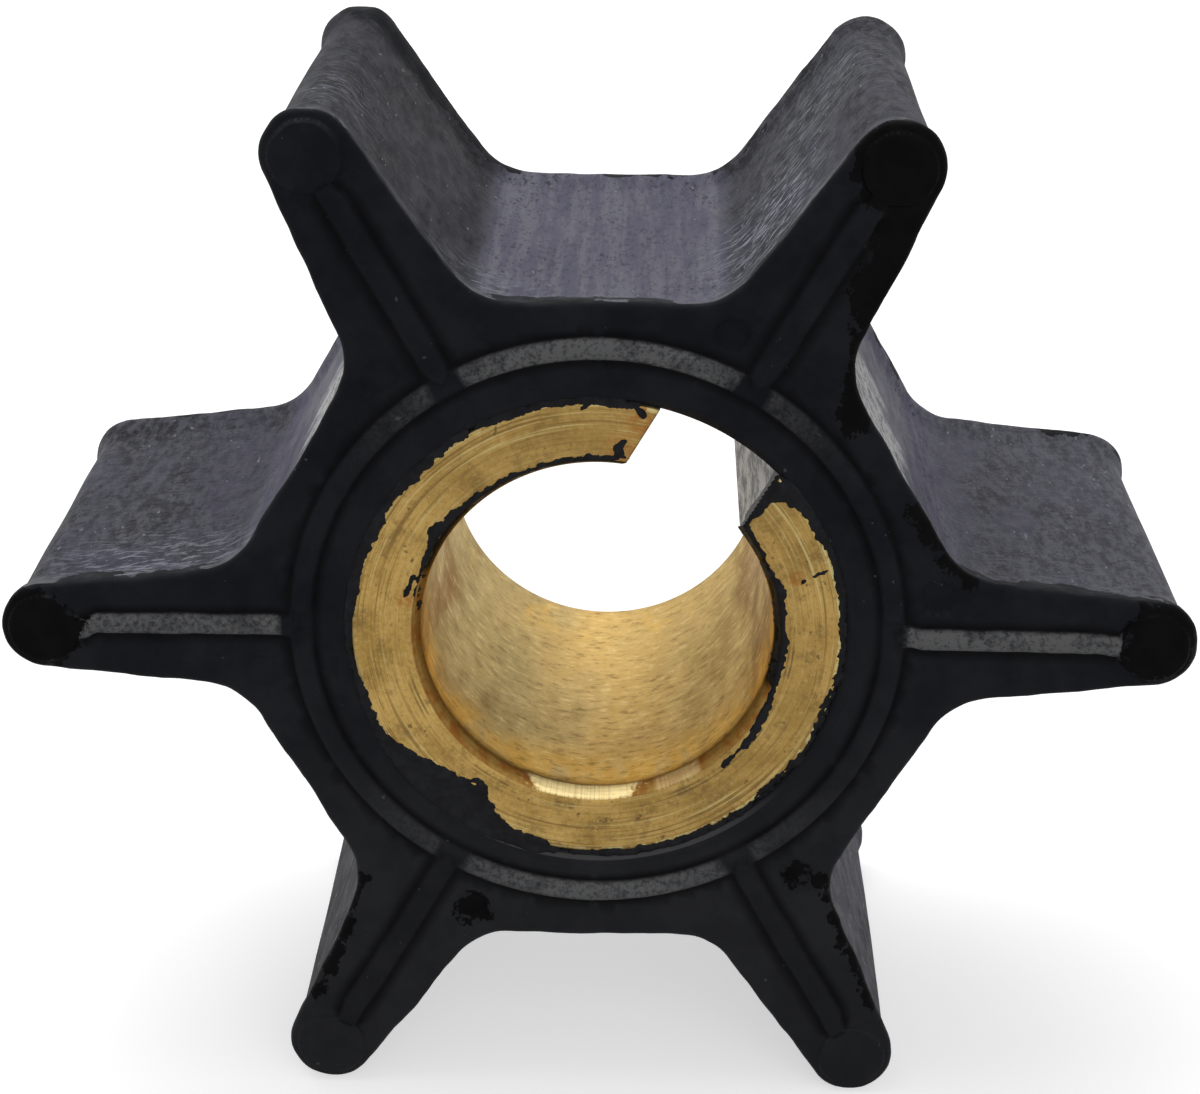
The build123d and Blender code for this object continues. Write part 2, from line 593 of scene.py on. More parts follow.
        # mottle between the vane greys: grey bloom with painted sheen
        bloom_and_sheen = paint.noise(paint.drawn, self.bloom_and_sheen)
        vane = paint.mix(paint.ease(bloom_and_sheen, *self.bloom_and_sheen.span), self.vane_grey, self.vane_pale)
        vane = paint.mix(paint.patches(paint.drawn, self.tint), vane, self.hub_blue)
        vane = paint.mix(paint.ease(scored, *self.score_pale), vane, self.vane_pale)
        vane = paint.mix(paint.ease(scored, *self.score_dark), vane, self.dark)
        # painted shade on each vane's flanks towards dark, and painted light towards the pale grey where the
        # value is negative
        vane_shading = paint.attribute("vane_shading")
        vane = paint.mix(paint.plus(paint.patches(paint.drawn, self.vane_specks), vane_shading), vane, self.dark)
        vane = paint.mix(paint.times(vane_shading, -1.0), vane, self.hub_pale)
        hub, hub_height = self._hub(paint)
        on_hub = paint.ease(paint.attribute("along"), *self.hub_range)
        colour = self._rubbed(paint, paint.mix(on_hub, vane, hub), scored)
        height = paint.plus(scored, paint.times(bloom_and_sheen, self.bloom_and_sheen_rise))
        return colour, paint.mix(on_hub, height, hub_height)

    def _hub(self, paint: Paint) -> tuple[Socket, Socket]:
        """Dress the flats between the vanes.

        Args:
            paint: Tree of the flank's material.

        Returns:
            Colour and height.
        """
        streaks = paint.noise(paint.along_bore(self.hub_stretch), self.hub_streaks)
        colour = paint.mix(paint.ease(streaks, *self.hub_streaks.span), self.hub_blue, self.hub_pale)
        colour = paint.mix(paint.patches(paint.drawn, self.hub_grain), colour, self.hub_dark)
        clusters = paint.patches(paint.drawn, self.hub_clusters)
        specks = paint.times(paint.patches(paint.drawn, self.hub_specks), clusters)
        return paint.mix(specks, colour, self.hub_dark), paint.times(streaks, self.hub_rise)

    def _rubbed(self, paint: Paint, colour: Socket, scored: Socket) -> Socket:
        """Lay bright scores, a painted reflection, flecks and a painted highlight beside the front edge over
        a colour.

        Args:
            paint: Tree of the flank's material.
            colour: Colour under them.
            scored: Pattern of the scores.

        Returns:
            The new colour.
        """
        rub = paint.attribute("rub")
        between = paint.times(paint.patches(paint.drawn, self.rub_shade), rub)
        colour = paint.mix(between, colour, self.hub_dark)
        lines = paint.times(paint.ease(scored, *self.score_bright), rub)
        colour = paint.mix(lines, colour, self.streak)
        # painted reflection of white surroundings on the flanks
        colour = paint.mix(self._painted_glare(paint), colour, self.glare)
        colour = paint.mix(paint.patches(paint.drawn, self.flecks), colour, self.streak)
        # painted highlight on the lip beside the front edge
        near = paint.ease(paint.depth, -self.front_limit, -self.front_limit - self.lip_highlight)
        line = paint.times(near, paint.patches(paint.point, self.lip_highlight_breaks))
        return paint.mix(line, colour, self.wear_and_highlight)

    def _painted_glare(self, paint: Paint) -> Socket:
        """Find where the painted reflection lies, frayed and broken by its grain.

        Args:
            paint: Tree of the flank's material.

        Returns:
            Mask of the painted reflection.
        """
        grain = paint.noise(paint.drawn, self.glare_grain)
        bays = paint.patches(paint.point, self.glare_bays)
        uneven = paint.plus(bays, paint.ease(grain, *self.glare_fray))
        glare_patch = paint.attribute("glare_patch")
        glare_amount = paint.plus(glare_patch, paint.times(uneven, paint.ease(glare_patch, *self.glare_start)))
        return paint.times(paint.ease(glare_amount, *self.glare_cover), paint.ease(grain, *self.glare_grain.span))

    def _face(self, paint: Paint) -> tuple[Socket, Socket]:
        """Dress the end faces.

        Args:
            paint: Tree of the faces' material.

        Returns:
            Colour and height.
        """
        mottle = paint.patches(paint.point, self.face_mottle)
        colour = paint.mix(mottle, self.face_dark, self.face_light)
        uneven = paint.ease(mottle, *self.face_mottle_below)
        below = paint.times(paint.ease(paint.z, *self.face_below), uneven)
        colour = paint.mix(below, colour, self.face_low)
        lines = paint.noise(paint.round_axis(self.land_rings), self.land_lines)
        on_land = paint.ease(paint.radius, *self.land_range)
        rings = paint.times(paint.ease(lines, *self.land_lines.span), on_land)
        colour = paint.mix(rings, colour, self.dark)
        # painted glint on the seat's edge
        colour = paint.mix(self._seat_glint(paint), colour, self.wear_and_highlight)
        bead = paint.attribute("bead")
        grain = paint.noise(paint.point, self.crown_grain)
        patchy = paint.patches(paint.point, self.crown_patches)
        patchy = paint.times(paint.ease(grain, *self.crown_grain.span), patchy)
        # painted light on the bead crowns, partly wear, patchy by its grain
        colour = paint.mix(paint.times(bead, patchy), colour, self.wear_and_highlight)
        # painted shade where the bead mask is negative
        colour = paint.mix(paint.times(bead, -1.0), colour, self.black_and_shade)
        # painted shade in the creases beside the beads
        colour = paint.mix(paint.times(paint.attribute("crease"), self.crease_shade), colour, self.black_and_shade)
        colour = paint.mix(paint.patches(paint.point, self.face_flecks), colour, self.vane_pale)
        smear = paint.plus(paint.attribute("smear"), paint.patches(paint.point, self.smear_edge))
        colour = paint.mix(paint.ease(smear, -self.smear_soft, self.smear_soft), colour, self.black_and_shade)
        skin = paint.times(paint.noise(paint.point, self.skin), self.skin_rise)
        turned = paint.times(lines, paint.times(on_land, self.land_rise))
        return colour, paint.plus(paint.plus(skin, turned), paint.times(grain, bead))

    def _seat_glint(self, paint: Paint) -> Socket:
        """Painted glint: a pale arc on the broken edge under the bush, where it faces up."""
        ring = paint.ease(paint.apart(paint.radius, self.glint_r), *self.glint_half)
        return paint.times(ring, paint.ease(paint.around_z, *self.glint_below))


@dataclass(frozen=True)
class FlashFinish:
    """Thin black rubber that crept over the bush."""

    dark: Colour = (0.0035, 0.0036, 0.0046, 1)
    light: Colour = (0.0100, 0.0105, 0.0130, 1)
    mottle: Grain = Grain(1.4, 4.0, 0.65, (0.38, 0.66))
    skin: Grain = Grain(3.5, 4.0, 0.6)
    rough: float = 0.5
    specular: float = 0.10
    relief: float = 0.04

    def build(self) -> Material:
        """Make the finish.

        Returns:
            The finished material.
        """
        paint = Paint("rubber_flash")
        colour = paint.mix(paint.patches(paint.point, self.mottle), self.dark, self.light)
        height = paint.noise(paint.point, self.skin)
        return paint.finished(colour, self.rough, height, self.relief, {"Specular IOR Level": self.specular})


@dataclass(frozen=True)
class TurnedBrassFinish:
    """Stained brass with turning lines on its ends and a mottled bore."""

    end: Colour = (0.300, 0.187, 0.049, 1)
    end_pale: Colour = (0.425, 0.276, 0.083, 1)
    end_dark: Colour = (0.150, 0.090, 0.030, 1)
    tarnish: Colour = (0.250, 0.095, 0.018, 1)
    glint: Colour = (0.980, 0.800, 0.400, 1)
    pit: Colour = (0.100, 0.062, 0.026, 1)
    covered: Colour = (0.004, 0.004, 0.005, 1)
    rim: Colour = (0.440, 0.370, 0.170, 1)
    bore_gilt: Colour = (0.800, 0.480, 0.090, 1)
    edge_tint: Colour = (0.92, 0.82, 0.60, 1)

    # tones across the bore, from its left side over the bottom to its right side: stain colours with painted
    # sheen, brightest on the bottom and shading off up the sides
    bore_tones: tuple[tuple[float, Colour], ...] = (
        (0.00, (0.250, 0.125, 0.030, 1)),
        (0.05, (0.350, 0.250, 0.110, 1)),
        (0.16, (0.460, 0.350, 0.160, 1)),
        (0.32, (0.530, 0.385, 0.165, 1)),
        (0.50, (0.640, 0.430, 0.155, 1)),
        (0.62, (0.610, 0.415, 0.150, 1)),
        (0.78, (0.530, 0.370, 0.145, 1)),
        (0.92, (0.400, 0.270, 0.090, 1)),
        (0.98, (0.240, 0.120, 0.030, 1)),
    )
    bore_sway: Grain = Grain(0.28, 3.0, 0.55, (0.25, 0.75, -0.22, 0.22))
    bore_front: Range = (-6.05, -10.35)
    bore_front_gilt: Grain = Grain(0.6, 4.0, 0.65, (0.36, 0.60, 0.0, 0.8))
    bore_back: Range = (4.0, 9.0)
    bore_back_gilt: Grain = Grain(0.45, 3.0, 0.6, (0.52, 0.62, 0.0, 0.55))
    bore_dash: float = 0.5
    bore_grain: Grain = Grain(2.4, 5.0, 0.75, (0.52, 0.66, 0.0, 0.55))
    bore_bright: Range = (0.47, 0.34, 0.0, 0.35)
    bore_flecks: Grain = Grain(1.6, 2.0, 0.5, (0.70, 0.78, 0.0, 0.45))

    # ends: blots, turned lines, and stains as (x, z, radius)
    end_blots: Grain = Grain(0.42, 5.0, 0.65, (0.36, 0.64))
    end_stains: Grain = Grain(0.9, 6.0, 0.72, (0.50, 0.68, 0.0, 0.7))
    end_grain: Grain = Grain(4.5, 4.0, 0.7, (0.52, 0.68, 0.0, 0.50))
    end_bright: Range = (0.46, 0.30, 0.0, 0.50)
    end_rise: float = 0.7
    end_shades: tuple[Range, Range] = ((-0.7, 0.5, 0.0, 0.18), (0.2, 1.0, 0.0, 0.28))
    end_rings: float = 6.5
    turned: Grain = Grain(1.0, 4.0, 0.75, (0.49, 0.39, 0.0, 0.8))
    turned_bright: Range = (0.55, 0.64, 0.0, 0.7)
    turned_outer: Range = (9.4, 10.6, 0.4, 1.0)
    pits: Grain = Grain(2.2, 3.0, 0.6, (0.66, 0.72, 0.0, 0.8))
    edge_range: Range = (11.22, 11.30)
    edge_breaks: Grain = Grain(1.3, 4.0, 0.7, (0.45, 0.52))
    edge_right: Range = (-0.25, 0.1, 0.25, 1.0)
    stains: tuple[tuple[float, float, float], ...] = (
        (2.3, 10.7, 1.5),
        (1.0, 9.3, 1.1),
        (-8.9, 1.6, 0.7),
        (9.2, 3.0, 0.5),
    )
    stain_core: float = 0.3
    stain_patches: Grain = Grain(1.7, 5.0, 0.7, (0.42, 0.60, 0.1, 0.8))
    scribed_radii: tuple[float, float] = (9.02, 9.22)
    scribed_half: Range = (0.07, 0.02)
    scribed_breaks: Grain = Grain(0.45, 3.0, 0.6, (0.44, 0.60, 0.0, 0.7))
    scribed_above: Range = (0.5, 0.0, 0.2, 1.0)

    # chamfer of the bore's mouth, with a painted highlight at its lowest place, where it faces up
    bore_r: float = 8.25
    mouth_r: float = 8.7
    bore_soft: Range = (0.05, 0.01)
    chamfer_soft: tuple[Range, Range] = ((0.04, 0.08), (0.02, -0.04))
    chamfer_patches: Grain = Grain(1.1, 5.0, 0.7, (0.36, 0.62))
    hatch: Grain = Grain(7.0, 3.0, 0.7, (0.36, 0.54, 0.72, 1.0))
    hatch_stretch: float = 9.0
    chamfer_glint_x: float = -0.08
    chamfer_glint_half: Range = (0.34, 0.24)
    # dimmer part of the same painted highlight
    dull_x: float = 0.46
    dull_half: Range = (0.14, 0.10, 0.0, 0.32)
    chamfer_glint_below: Range = (-0.5, -0.7)
    chamfer_glint_inward: Range = (-0.07, 0.07)
    chamfer_glint_fray: Range = (0.0, 1.0, 0.05, -0.05)
    edge_line: Range = (-0.10, -0.03)
    edge_line_hatch: Range = (1.0, 0.72, 0.35, 0.9)
    covered_parts: tuple[tuple[Range, Range], ...] = (
        ((0.30, 0.38), (0.42, 0.30)),
        ((-0.36, -0.26), (0.5, 0.6)),
    )
    rough: Grain = Grain(1.2, 3.0, 0.6, (0.3, 0.7, 0.38, 0.50))
    metallic: float = 0.90
    relief: float = 0.035

    def build(self) -> Material:
        """Make the finish.

        Returns:
            The finished material.
        """
        paint = Paint("turned_brass")
        end, end_height = self._ends(paint)
        bore, bore_height = self._bore(paint)
        in_bore = paint.ease(paint.radius, *(self.bore_r + soft for soft in self.bore_soft))
        colour = paint.mix(self._on_chamfer(paint), end, self._chamfer(paint))
        colour = paint.mix(in_bore, colour, bore)
        height = paint.mix(in_bore, end_height, bore_height)
        rough = paint.patches(paint.drawn, self.rough)
        constants = {"Metallic": self.metallic, "Specular Tint": self.edge_tint}
        return paint.finished(colour, rough, height, self.relief, constants)

    def _ends(self, paint: Paint) -> tuple[Socket, Socket]:
        """Dress the turned ends.

        Args:
            paint: Tree of the material.

        Returns:
            Colour and height.
        """
        colour = paint.mix(paint.patches(paint.point, self.end_blots), self.end, self.end_pale)
        colour = paint.mix(paint.patches(paint.point, self.end_stains), colour, self.end_dark)
        grain = paint.noise(paint.point, self.end_grain)
        colour = paint.mix(paint.ease(grain, *self.end_grain.span), colour, self.end_dark)
        colour = paint.mix(paint.ease(grain, *self.end_bright), colour, self.rim)
        for around, shade in zip((paint.around_x, paint.around_z), self.end_shades):
            colour = paint.mix(paint.ease(around, *shade), colour, self.end_dark)
        turned = paint.noise(paint.round_axis(self.end_rings), self.turned)
        outer = paint.ease(paint.radius, *self.turned_outer)
        for span, tone in ((self.turned.span, self.end_dark), (self.turned_bright, self.rim)):
            colour = paint.mix(paint.times(paint.ease(turned, *span), outer), colour, tone)
        colour = paint.mix(self._scribed(paint), colour, self.pit)
        colour = paint.mix(paint.patches(paint.point, self.pits), colour, self.pit)
        # pale broken line along the outer edge, stronger towards the right
        pale_rim = paint.patches(paint.point, self.edge_breaks)
        pale_rim = paint.times(pale_rim, paint.ease(paint.around_x, *self.edge_right))
        pale_rim = paint.times(paint.ease(paint.radius, *self.edge_range), pale_rim)
        colour = paint.mix(pale_rim, colour, self.rim)
        colour = paint.mix(self._stained(paint), colour, self.tarnish)
        return colour, paint.plus(turned, paint.times(grain, self.end_rise))

    def _stained(self, paint: Paint) -> Socket:
        """Find the reddish stains at a few places on the end.

        Args:
            paint: Tree of the material.

        Returns:
            Mask of the stains.
        """
        total = 0.0
        flat = paint.vector(paint.x, 0.0, paint.z)
        for x, z, radius in self.stains:
            offset = paint.add("ShaderNodeVectorMath", {0: flat, 1: (x, 0, z)}, operation="DISTANCE")
            stain = paint.ease(offset.outputs["Value"], radius, radius * self.stain_core)
            total = paint.largest(total, stain)
        return paint.times(total, paint.patches(paint.point, self.stain_patches))

    def _scribed(self, paint: Paint) -> Socket:
        """Find two thin dark circles beside the bore's mouth, broken along their length.

        Args:
            paint: Tree of the material.

        Returns:
            Mask of the circles.
        """
        circles = [paint.ease(paint.apart(paint.radius, r), *self.scribed_half) for r in self.scribed_radii]
        broken = paint.patches(paint.point, self.scribed_breaks)
        broken = paint.times(broken, paint.ease(paint.around_z, *self.scribed_above))
        return paint.times(paint.largest(*circles), broken)

    def _on_chamfer(self, paint: Paint) -> Socket:
        """Mask of the chamfer of the bore's mouth."""
        edges = zip((self.bore_r, self.mouth_r), self.chamfer_soft)
        return paint.times(*(paint.ease(paint.radius, *(r + soft for soft in pair)) for r, pair in edges))

    def _chamfer(self, paint: Paint) -> Socket:
        """Dress the chamfer: tarnished at the sides, with a painted highlight at the bottom, black above.

        Args:
            paint: Tree of the material.

        Returns:
            The chamfer's colour.
        """
        patchy = paint.patches(paint.point, self.chamfer_patches)
        colour = paint.mix(patchy, self.tarnish, self.end)
        around = (paint.around_x, paint.around_z)
        hatch_x, hatch_z = (paint.times(side, self.hatch_stretch) for side in around)
        hatch = paint.patches(paint.vector(hatch_x, 0.0, hatch_z), self.hatch)
        inward = paint.ease(paint.radius, self.bore_r, self.mouth_r, *self.chamfer_glint_inward)
        chamfer_glint = paint.plus(paint.apart(paint.around_x, self.chamfer_glint_x), inward)
        chamfer_glint = paint.plus(chamfer_glint, paint.ease(patchy, *self.chamfer_glint_fray))
        dull = paint.apart(paint.around_x, self.dull_x)
        below = paint.ease(paint.around_z, *self.chamfer_glint_below)
        # painted highlight at the bottom: a dimmer segment to the right, then the brightest band near the
        # middle
        for offset, half in ((dull, self.dull_half), (chamfer_glint, self.chamfer_glint_half)):
            bright = paint.times(paint.ease(offset, *half), hatch)
            colour = paint.mix(paint.times(bright, below), colour, self.glint)
        reach = (self.mouth_r - self.bore_r) / 2
        edge = paint.apart(paint.radius, self.bore_r + reach)
        on_edge = paint.ease(edge, *(reach + soft for soft in self.edge_line))
        line = paint.times(on_edge, paint.ease(hatch, *self.edge_line_hatch))
        colour = paint.mix(line, colour, self.end_dark)
        return paint.mix(self._blackened(paint), colour, self.covered)

    def _blackened(self, paint: Paint) -> Socket:
        """Find where rubber covers the chamfer, at the upper left and on the right.

        Args:
            paint: Tree of the material.

        Returns:
            Mask of the black.
        """
        parts = []
        for up, aside in self.covered_parts:
            parts.append(paint.times(paint.ease(paint.around_z, *up), paint.ease(paint.around_x, *aside)))
        return paint.largest(*parts)

    def _bore(self, paint: Paint) -> tuple[Socket, Socket]:
        """Dress the bore: bands of stain along it, fine grain and pits.

        Args:
            paint: Tree of the material.

        Returns:
            Colour and height.
        """
        across = paint.plus(paint.around_x, paint.patches(paint.drawn, self.bore_sway))
        ramp = paint.add("ShaderNodeValToRGB", {0: paint.plus(paint.times(across, 0.5), 0.5)})
        stops = ramp.color_ramp.elements
        while len(stops) < len(self.bore_tones):
            stops.new(1.0)
        for stop, (place, tone) in zip(stops, self.bore_tones):
            stop.position, stop.color = place, tone
        colour = ramp.outputs[0]
        gilt_ends = ((self.bore_front, self.bore_front_gilt), (self.bore_back, self.bore_back_gilt))
        for reach, patches in gilt_ends:
            gilt = paint.times(paint.ease(paint.depth, *reach), paint.patches(paint.drawn, patches))
            colour = paint.mix(gilt, colour, self.bore_gilt)
        dash_x, dash_z = (paint.times(side, self.bore_dash) for side in (paint.x, paint.z))
        dashed = paint.vector(dash_x, paint.depth, dash_z)
        grain = paint.noise(dashed, self.bore_grain)
        colour = paint.mix(paint.ease(grain, *self.bore_grain.span), colour, self.end_dark)
        colour = paint.mix(paint.ease(grain, *self.bore_bright), colour, self.glint)
        return paint.mix(paint.patches(dashed, self.bore_flecks), colour, self.pit), grain


@dataclass(frozen=True)
class SlotWallFinish:
    """Broached walls of the key slot, grey and streaked along the bore, black at the front."""

    light: Colour = (0.80, 0.80, 0.78, 1)
    dark: Colour = (0.14, 0.14, 0.135, 1)
    black: Colour = (0.004, 0.004, 0.005, 1)
    black_limit: float = -9.95
    limit_soft: float = 0.04
    limit_wander: Grain = Grain(0.9, 5.0, 0.7, (0.2, 0.8, -0.45, 0.45))
    streak_stretch: float = 0.12
    streaks: Grain = Grain(3.2, 5.0, 0.7, (0.38, 0.60))
    rough: float = 0.5
    metallic: float = 0.35
    relief: float = 0.05

    def build(self) -> Material:
        """Make the finish.

        Returns:
            The finished material.
        """
        paint = Paint("broached_wall")
        streaks = paint.noise(paint.along_bore(self.streak_stretch), self.streaks)
        colour = paint.mix(paint.ease(streaks, *self.streaks.span), self.dark, self.light)
        depth = paint.plus(paint.depth, paint.patches(paint.point, self.limit_wander))
        covered = paint.ease(depth, self.black_limit + self.limit_soft, self.black_limit - self.limit_soft)
        colour = paint.mix(covered, colour, self.black)
        return paint.finished(colour, self.rough, streaks, self.relief, {"Metallic": self.metallic})


@dataclass(frozen=True)
class FloorFinish:
    """Pale floor that looks white where it is lit and keeps the part's shadow."""

    tone: Colour = (0.60, 0.60, 0.60, 1)
    lift: float = 0.58

    def build(self) -> Material:
        """Make the finish.

        Returns:
            The finished material.
        """
        material = bpy.data.materials.new("floor")
        material.use_nodes = True
        material.node_tree.nodes.clear()
        graph = Graph(material.node_tree)
        diffuse = graph.add("ShaderNodeBsdfDiffuse", {"Color": self.tone}).outputs[0]
        strength = graph.times(graph.seen_directly(), self.lift)
        glow = graph.add("ShaderNodeEmission", {"Color": WHITE, "Strength": strength}).outputs[0]
        both = graph.add("ShaderNodeAddShader", {0: diffuse, 1: glow}).outputs[0]
        graph.add("ShaderNodeOutputMaterial", {"Surface": both})
        return material


# --- the moulding -----------------------------------------------------


@dataclass(frozen=True)
class Outline:
    """Section of the moulding: round tips, tapered flanks, root fillets and hub flats."""

    tip_centre_r: float = 26.0
    tip_r: float = 2.1
    root_r: float = 17.0
    root_half_w: float = 3.05
    flat_r: float = 16.1
    fillet_r: float = 3.3
    sector: float = math.radians(60)
    tip_steps: int = 14
    flank_steps: int = 26
    fillet_steps: int = 12
    flat_steps: int = 14

    def half(self, inset: float) -> np.ndarray:
        """Points from a vane's tip to the middle of the next flat.

        Args:
            inset: How far the outline is moved in.

        Returns:
            One row of two coordinates for each point.
        """
        tip_r, fillet_r = self.tip_r - inset, self.fillet_r + inset
        run, rise = self.tip_centre_r - self.root_r, self.root_half_w - inset
        tilt = math.acos(tip_r / math.hypot(run, rise)) - math.atan2(run, rise)
        flank = ring_points(1.0, math.pi / 2 - tilt)
        flat = ring_points(1.0, self.sector / 2)
        flank_reach = flank[0] * self.tip_centre_r + tip_r
        reaches = [flank_reach + fillet_r, self.flat_r - inset + fillet_r]
        centre = np.linalg.solve(np.array([flank, flat]), reaches)
        tip = ring_points(tip_r, np.linspace(0, math.pi / 2 - tilt, self.tip_steps + 1))
        tip[:, 0] += self.tip_centre_r
        start, end = centre - fillet_r * flank, centre - fillet_r * flat
        turns = np.linspace(-math.pi / 2 - tilt, self.sector / 2 - math.pi, self.fillet_steps + 1)
        fillet = centre + ring_points(fillet_r, turns)
        side = np.linspace(tip[-1], start, self.flank_steps + 1)[1:-1]
        level = np.linspace(end, flat * (self.flat_r - inset), self.flat_steps + 1)[1:]
        return np.concatenate([tip, side, fillet, level])

    def sector_points(self, inset: float) -> np.ndarray:
        """Points of one whole sector, from its lower edge round the vane to its upper edge."""
        upper = self.half(inset)
        return np.concatenate([upper[:0:-1] * [1, -1], upper])


@dataclass(frozen=True)
class FaceRelief:
    """What stands up from an end face, and what is sunk into it, in one sector.

    Its methods take x along the vane and y across it, as arrays of millimetres.
    """

    bead_half: float = 0.525
    bead_rise: float = 0.28
    ring_r: float = 13.8
    ring_gap: float = 0.86
    vane_bead_start: float = 13.9
    vane_bead_end: float = 24.45
    bead_curves: Range = (3, 0.6)
    bead_mask: Range = (0.03, -0.05)
    gap_soft: Range = (-0.08, 0.06)
    gap_mask: Range = (-0.02, 0.06)
    crease: float = 0.10
    crease_out: float = 0.05
    crease_soft: Range = (0.16, 0.04)
    crease_mask_out: float = 0.08
    crease_mask: Range = (0.16, 0.05)
    pad_centre: float = 26.0
    pad_r: float = 1.68
    pad_rise: float = 0.28
    pad_soft: Range = (0.06, -0.10)
    mark_r: float = 0.85
    mark_depth: float = 0.25
    mark_soft: Range = (0.02, -0.14)
    mark_lip: float = 0.03
    mark_lip_out: float = 0.1
    mark_lip_soft: Range = (0.16, 0.02)
    mark_centre_r: float = 15.9
    mark_turn: float = math.radians(8)
    seat_r: float = 11.5
    seat_break: float = 0.35
    land_r: float = 13.1
    land_rise: float = 0.05
    land_soft: Range = (0.1, -0.05)

    # where points are set along the edges of each feature, for a clean triangulation
    bead_offsets: Range = (
        *(-0.66, -0.575, -0.525, -0.48, -0.38, -0.2, 0),
        *(0.1, 0.2, 0.3, 0.38, 0.48, 0.525, 0.575, 0.66),
    )
    land_radii: Range = (13.1, 12.8, 12.4, 11.85, 11.95, 11.74, 11.62)
    pad_radii: Range = (1.0, 1.3, 1.5, 1.6, 1.65, 1.70, 1.745)
    mark_offsets: Range = (-0.4, -0.14, -0.06, 0.02, 0.1, 0.2)
    half_turn: float = 30.0
    ring_steps: int = 48
    pad_steps: int = 40
    mark_steps: int = 28
    station_step: float = 0.24
    before_bead: float = 0.7
    clear_of_pad: float = 0.05

    def crown(self, distance: np.ndarray) -> np.ndarray:
        """Height of a bead, with a crease beside it.

        Args:
            distance: Distances from the bead's centre line.

        Returns:
            Heights in millimetres.
        """
        share = np.clip(np.abs(distance) / self.bead_half, 0, 1)
        inner, outer = self.bead_curves
        top = self.bead_rise * (1 - share**inner) ** outer
        beside = np.abs(np.abs(distance) - self.bead_half - self.crease_out)
        return top - self.crease * smooth(*self.crease_soft, beside) * (share >= 1)

    def bead_distance(self, x: np.ndarray, y: np.ndarray) -> tuple[np.ndarray, np.ndarray]:
        """Distances to the centre lines of the vane bead and of the ring bead."""
        past = np.maximum(self.vane_bead_start - x, np.maximum(x - self.vane_bead_end, 0))
        return np.hypot(y, past + self.bead_half * (past > 0)), np.abs(np.hypot(x, y) - self.ring_r)

    def mark_place(self) -> np.ndarray:
        """Middle of the ejector mark."""
        return ring_points(self.mark_centre_r, self.mark_turn)

    def height(self, x: np.ndarray, y: np.ndarray) -> np.ndarray:
        """Height above the end face.

        Args:
            x: Distances along the vane.
            y: Distances across it.

        Returns:
            Heights in millimetres.
        """
        vane, ring = self.bead_distance(x, y)
        clear = mask_at(self.ring_gap, self.gap_soft, np.abs(y))
        rise = np.where(vane < ring, self.crown(vane), self.crown(ring) * clear)
        pad = mask_at(self.pad_r, self.pad_soft, np.hypot(x - self.pad_centre, y))
        rise = np.maximum(rise, self.pad_rise * pad)
        mark_x, mark_y = self.mark_place()
        mark = np.hypot(x - mark_x, y - mark_y)
        rise -= self.mark_depth * mask_at(self.mark_r, self.mark_soft, mark)
        rise += self.mark_lip * smooth(*self.mark_lip_soft, np.abs(mark - self.mark_r - self.mark_lip_out))
        radius = np.hypot(x, y)
        rise += self.land_rise * mask_at(self.land_r, self.land_soft, radius)
        drop = np.clip(self.seat_r + self.seat_break - radius, 0, self.seat_break)
        return rise - drop * (1 + self.land_rise / self.seat_break)

    def bead_masks(self, x: np.ndarray, y: np.ndarray) -> tuple[np.ndarray, np.ndarray, np.ndarray]:
        """How much of each point lies on a bead or beside it.

        Args:
            x: Distances along the vane.
            y: Distances across it.

        Returns:
            Shares on the vane bead, on the ring bead and in the crease beside the nearer one.
        """
        vane, ring = self.bead_distance(x, y)
        on_vane, on_ring = (mask_at(self.bead_half, self.bead_mask, bead) for bead in (vane, ring))
        on_ring *= mask_at(self.ring_gap, self.gap_mask, np.abs(y))
        nearest = np.where(vane < ring, vane, ring)
        aside = np.abs(nearest - self.bead_half - self.crease_mask_out)
        return on_vane, on_ring, smooth(*self.crease_mask, aside)

    def sample_points(self) -> np.ndarray:
        """Set points along the edges of the beads, the land, the pad and the mark.

        Returns:
            One row of two coordinates for each point.
        """
        turns = np.radians(np.linspace(-self.half_turn, self.half_turn, self.ring_steps + 1))[1:-1]
        radii = [self.ring_r + offset for offset in self.bead_offsets] + list(self.land_radii)
        rows = [ring_points(radius, turns) for radius in radii]
        start = self.vane_bead_start - self.before_bead
        end = self.pad_centre - self.pad_r - self.clear_of_pad
        stations = np.arange(start, end, self.station_step)
        rows += [np.stack([stations, np.full(len(stations), offset)], 1) for offset in self.bead_offsets]
        rows += [self._circle((self.pad_centre, 0), radius, self.pad_steps) for radius in self.pad_radii]
        mark_radii = [self.mark_r + offset for offset in self.mark_offsets]
        rows += [self._circle(self.mark_place(), radius, self.mark_steps) for radius in mark_radii]
        return np.concatenate(rows)

    def _circle(self, centre: tuple[float, float], radius: float, count: int) -> np.ndarray:
        """Points round a circle."""
        return np.array(centre) + ring_points(radius, np.linspace(0, 2 * math.pi, count, endpoint=False))


def inside_stroke(points: np.ndarray, ends: np.ndarray, halves: tuple[float, float]) -> np.ndarray:
    """How far inside a straight stroke with round ends each point lies.

    Args:
        points: Places in the section plane, one row each.
        ends: Both ends of the stroke's centre line.
        halves: Half width at each end.

    Returns:
        Distances from the stroke's rim, negative outside it.
    """
    along = ends[1] - ends[0]
    share = np.clip((points - ends[0]) @ along / max(along @ along, TINY), 0, 1)
    gap = np.linalg.norm(points - ends[0] - share[:, None] * along, axis=1)
    return halves[0] + (halves[1] - halves[0]) * share - gap


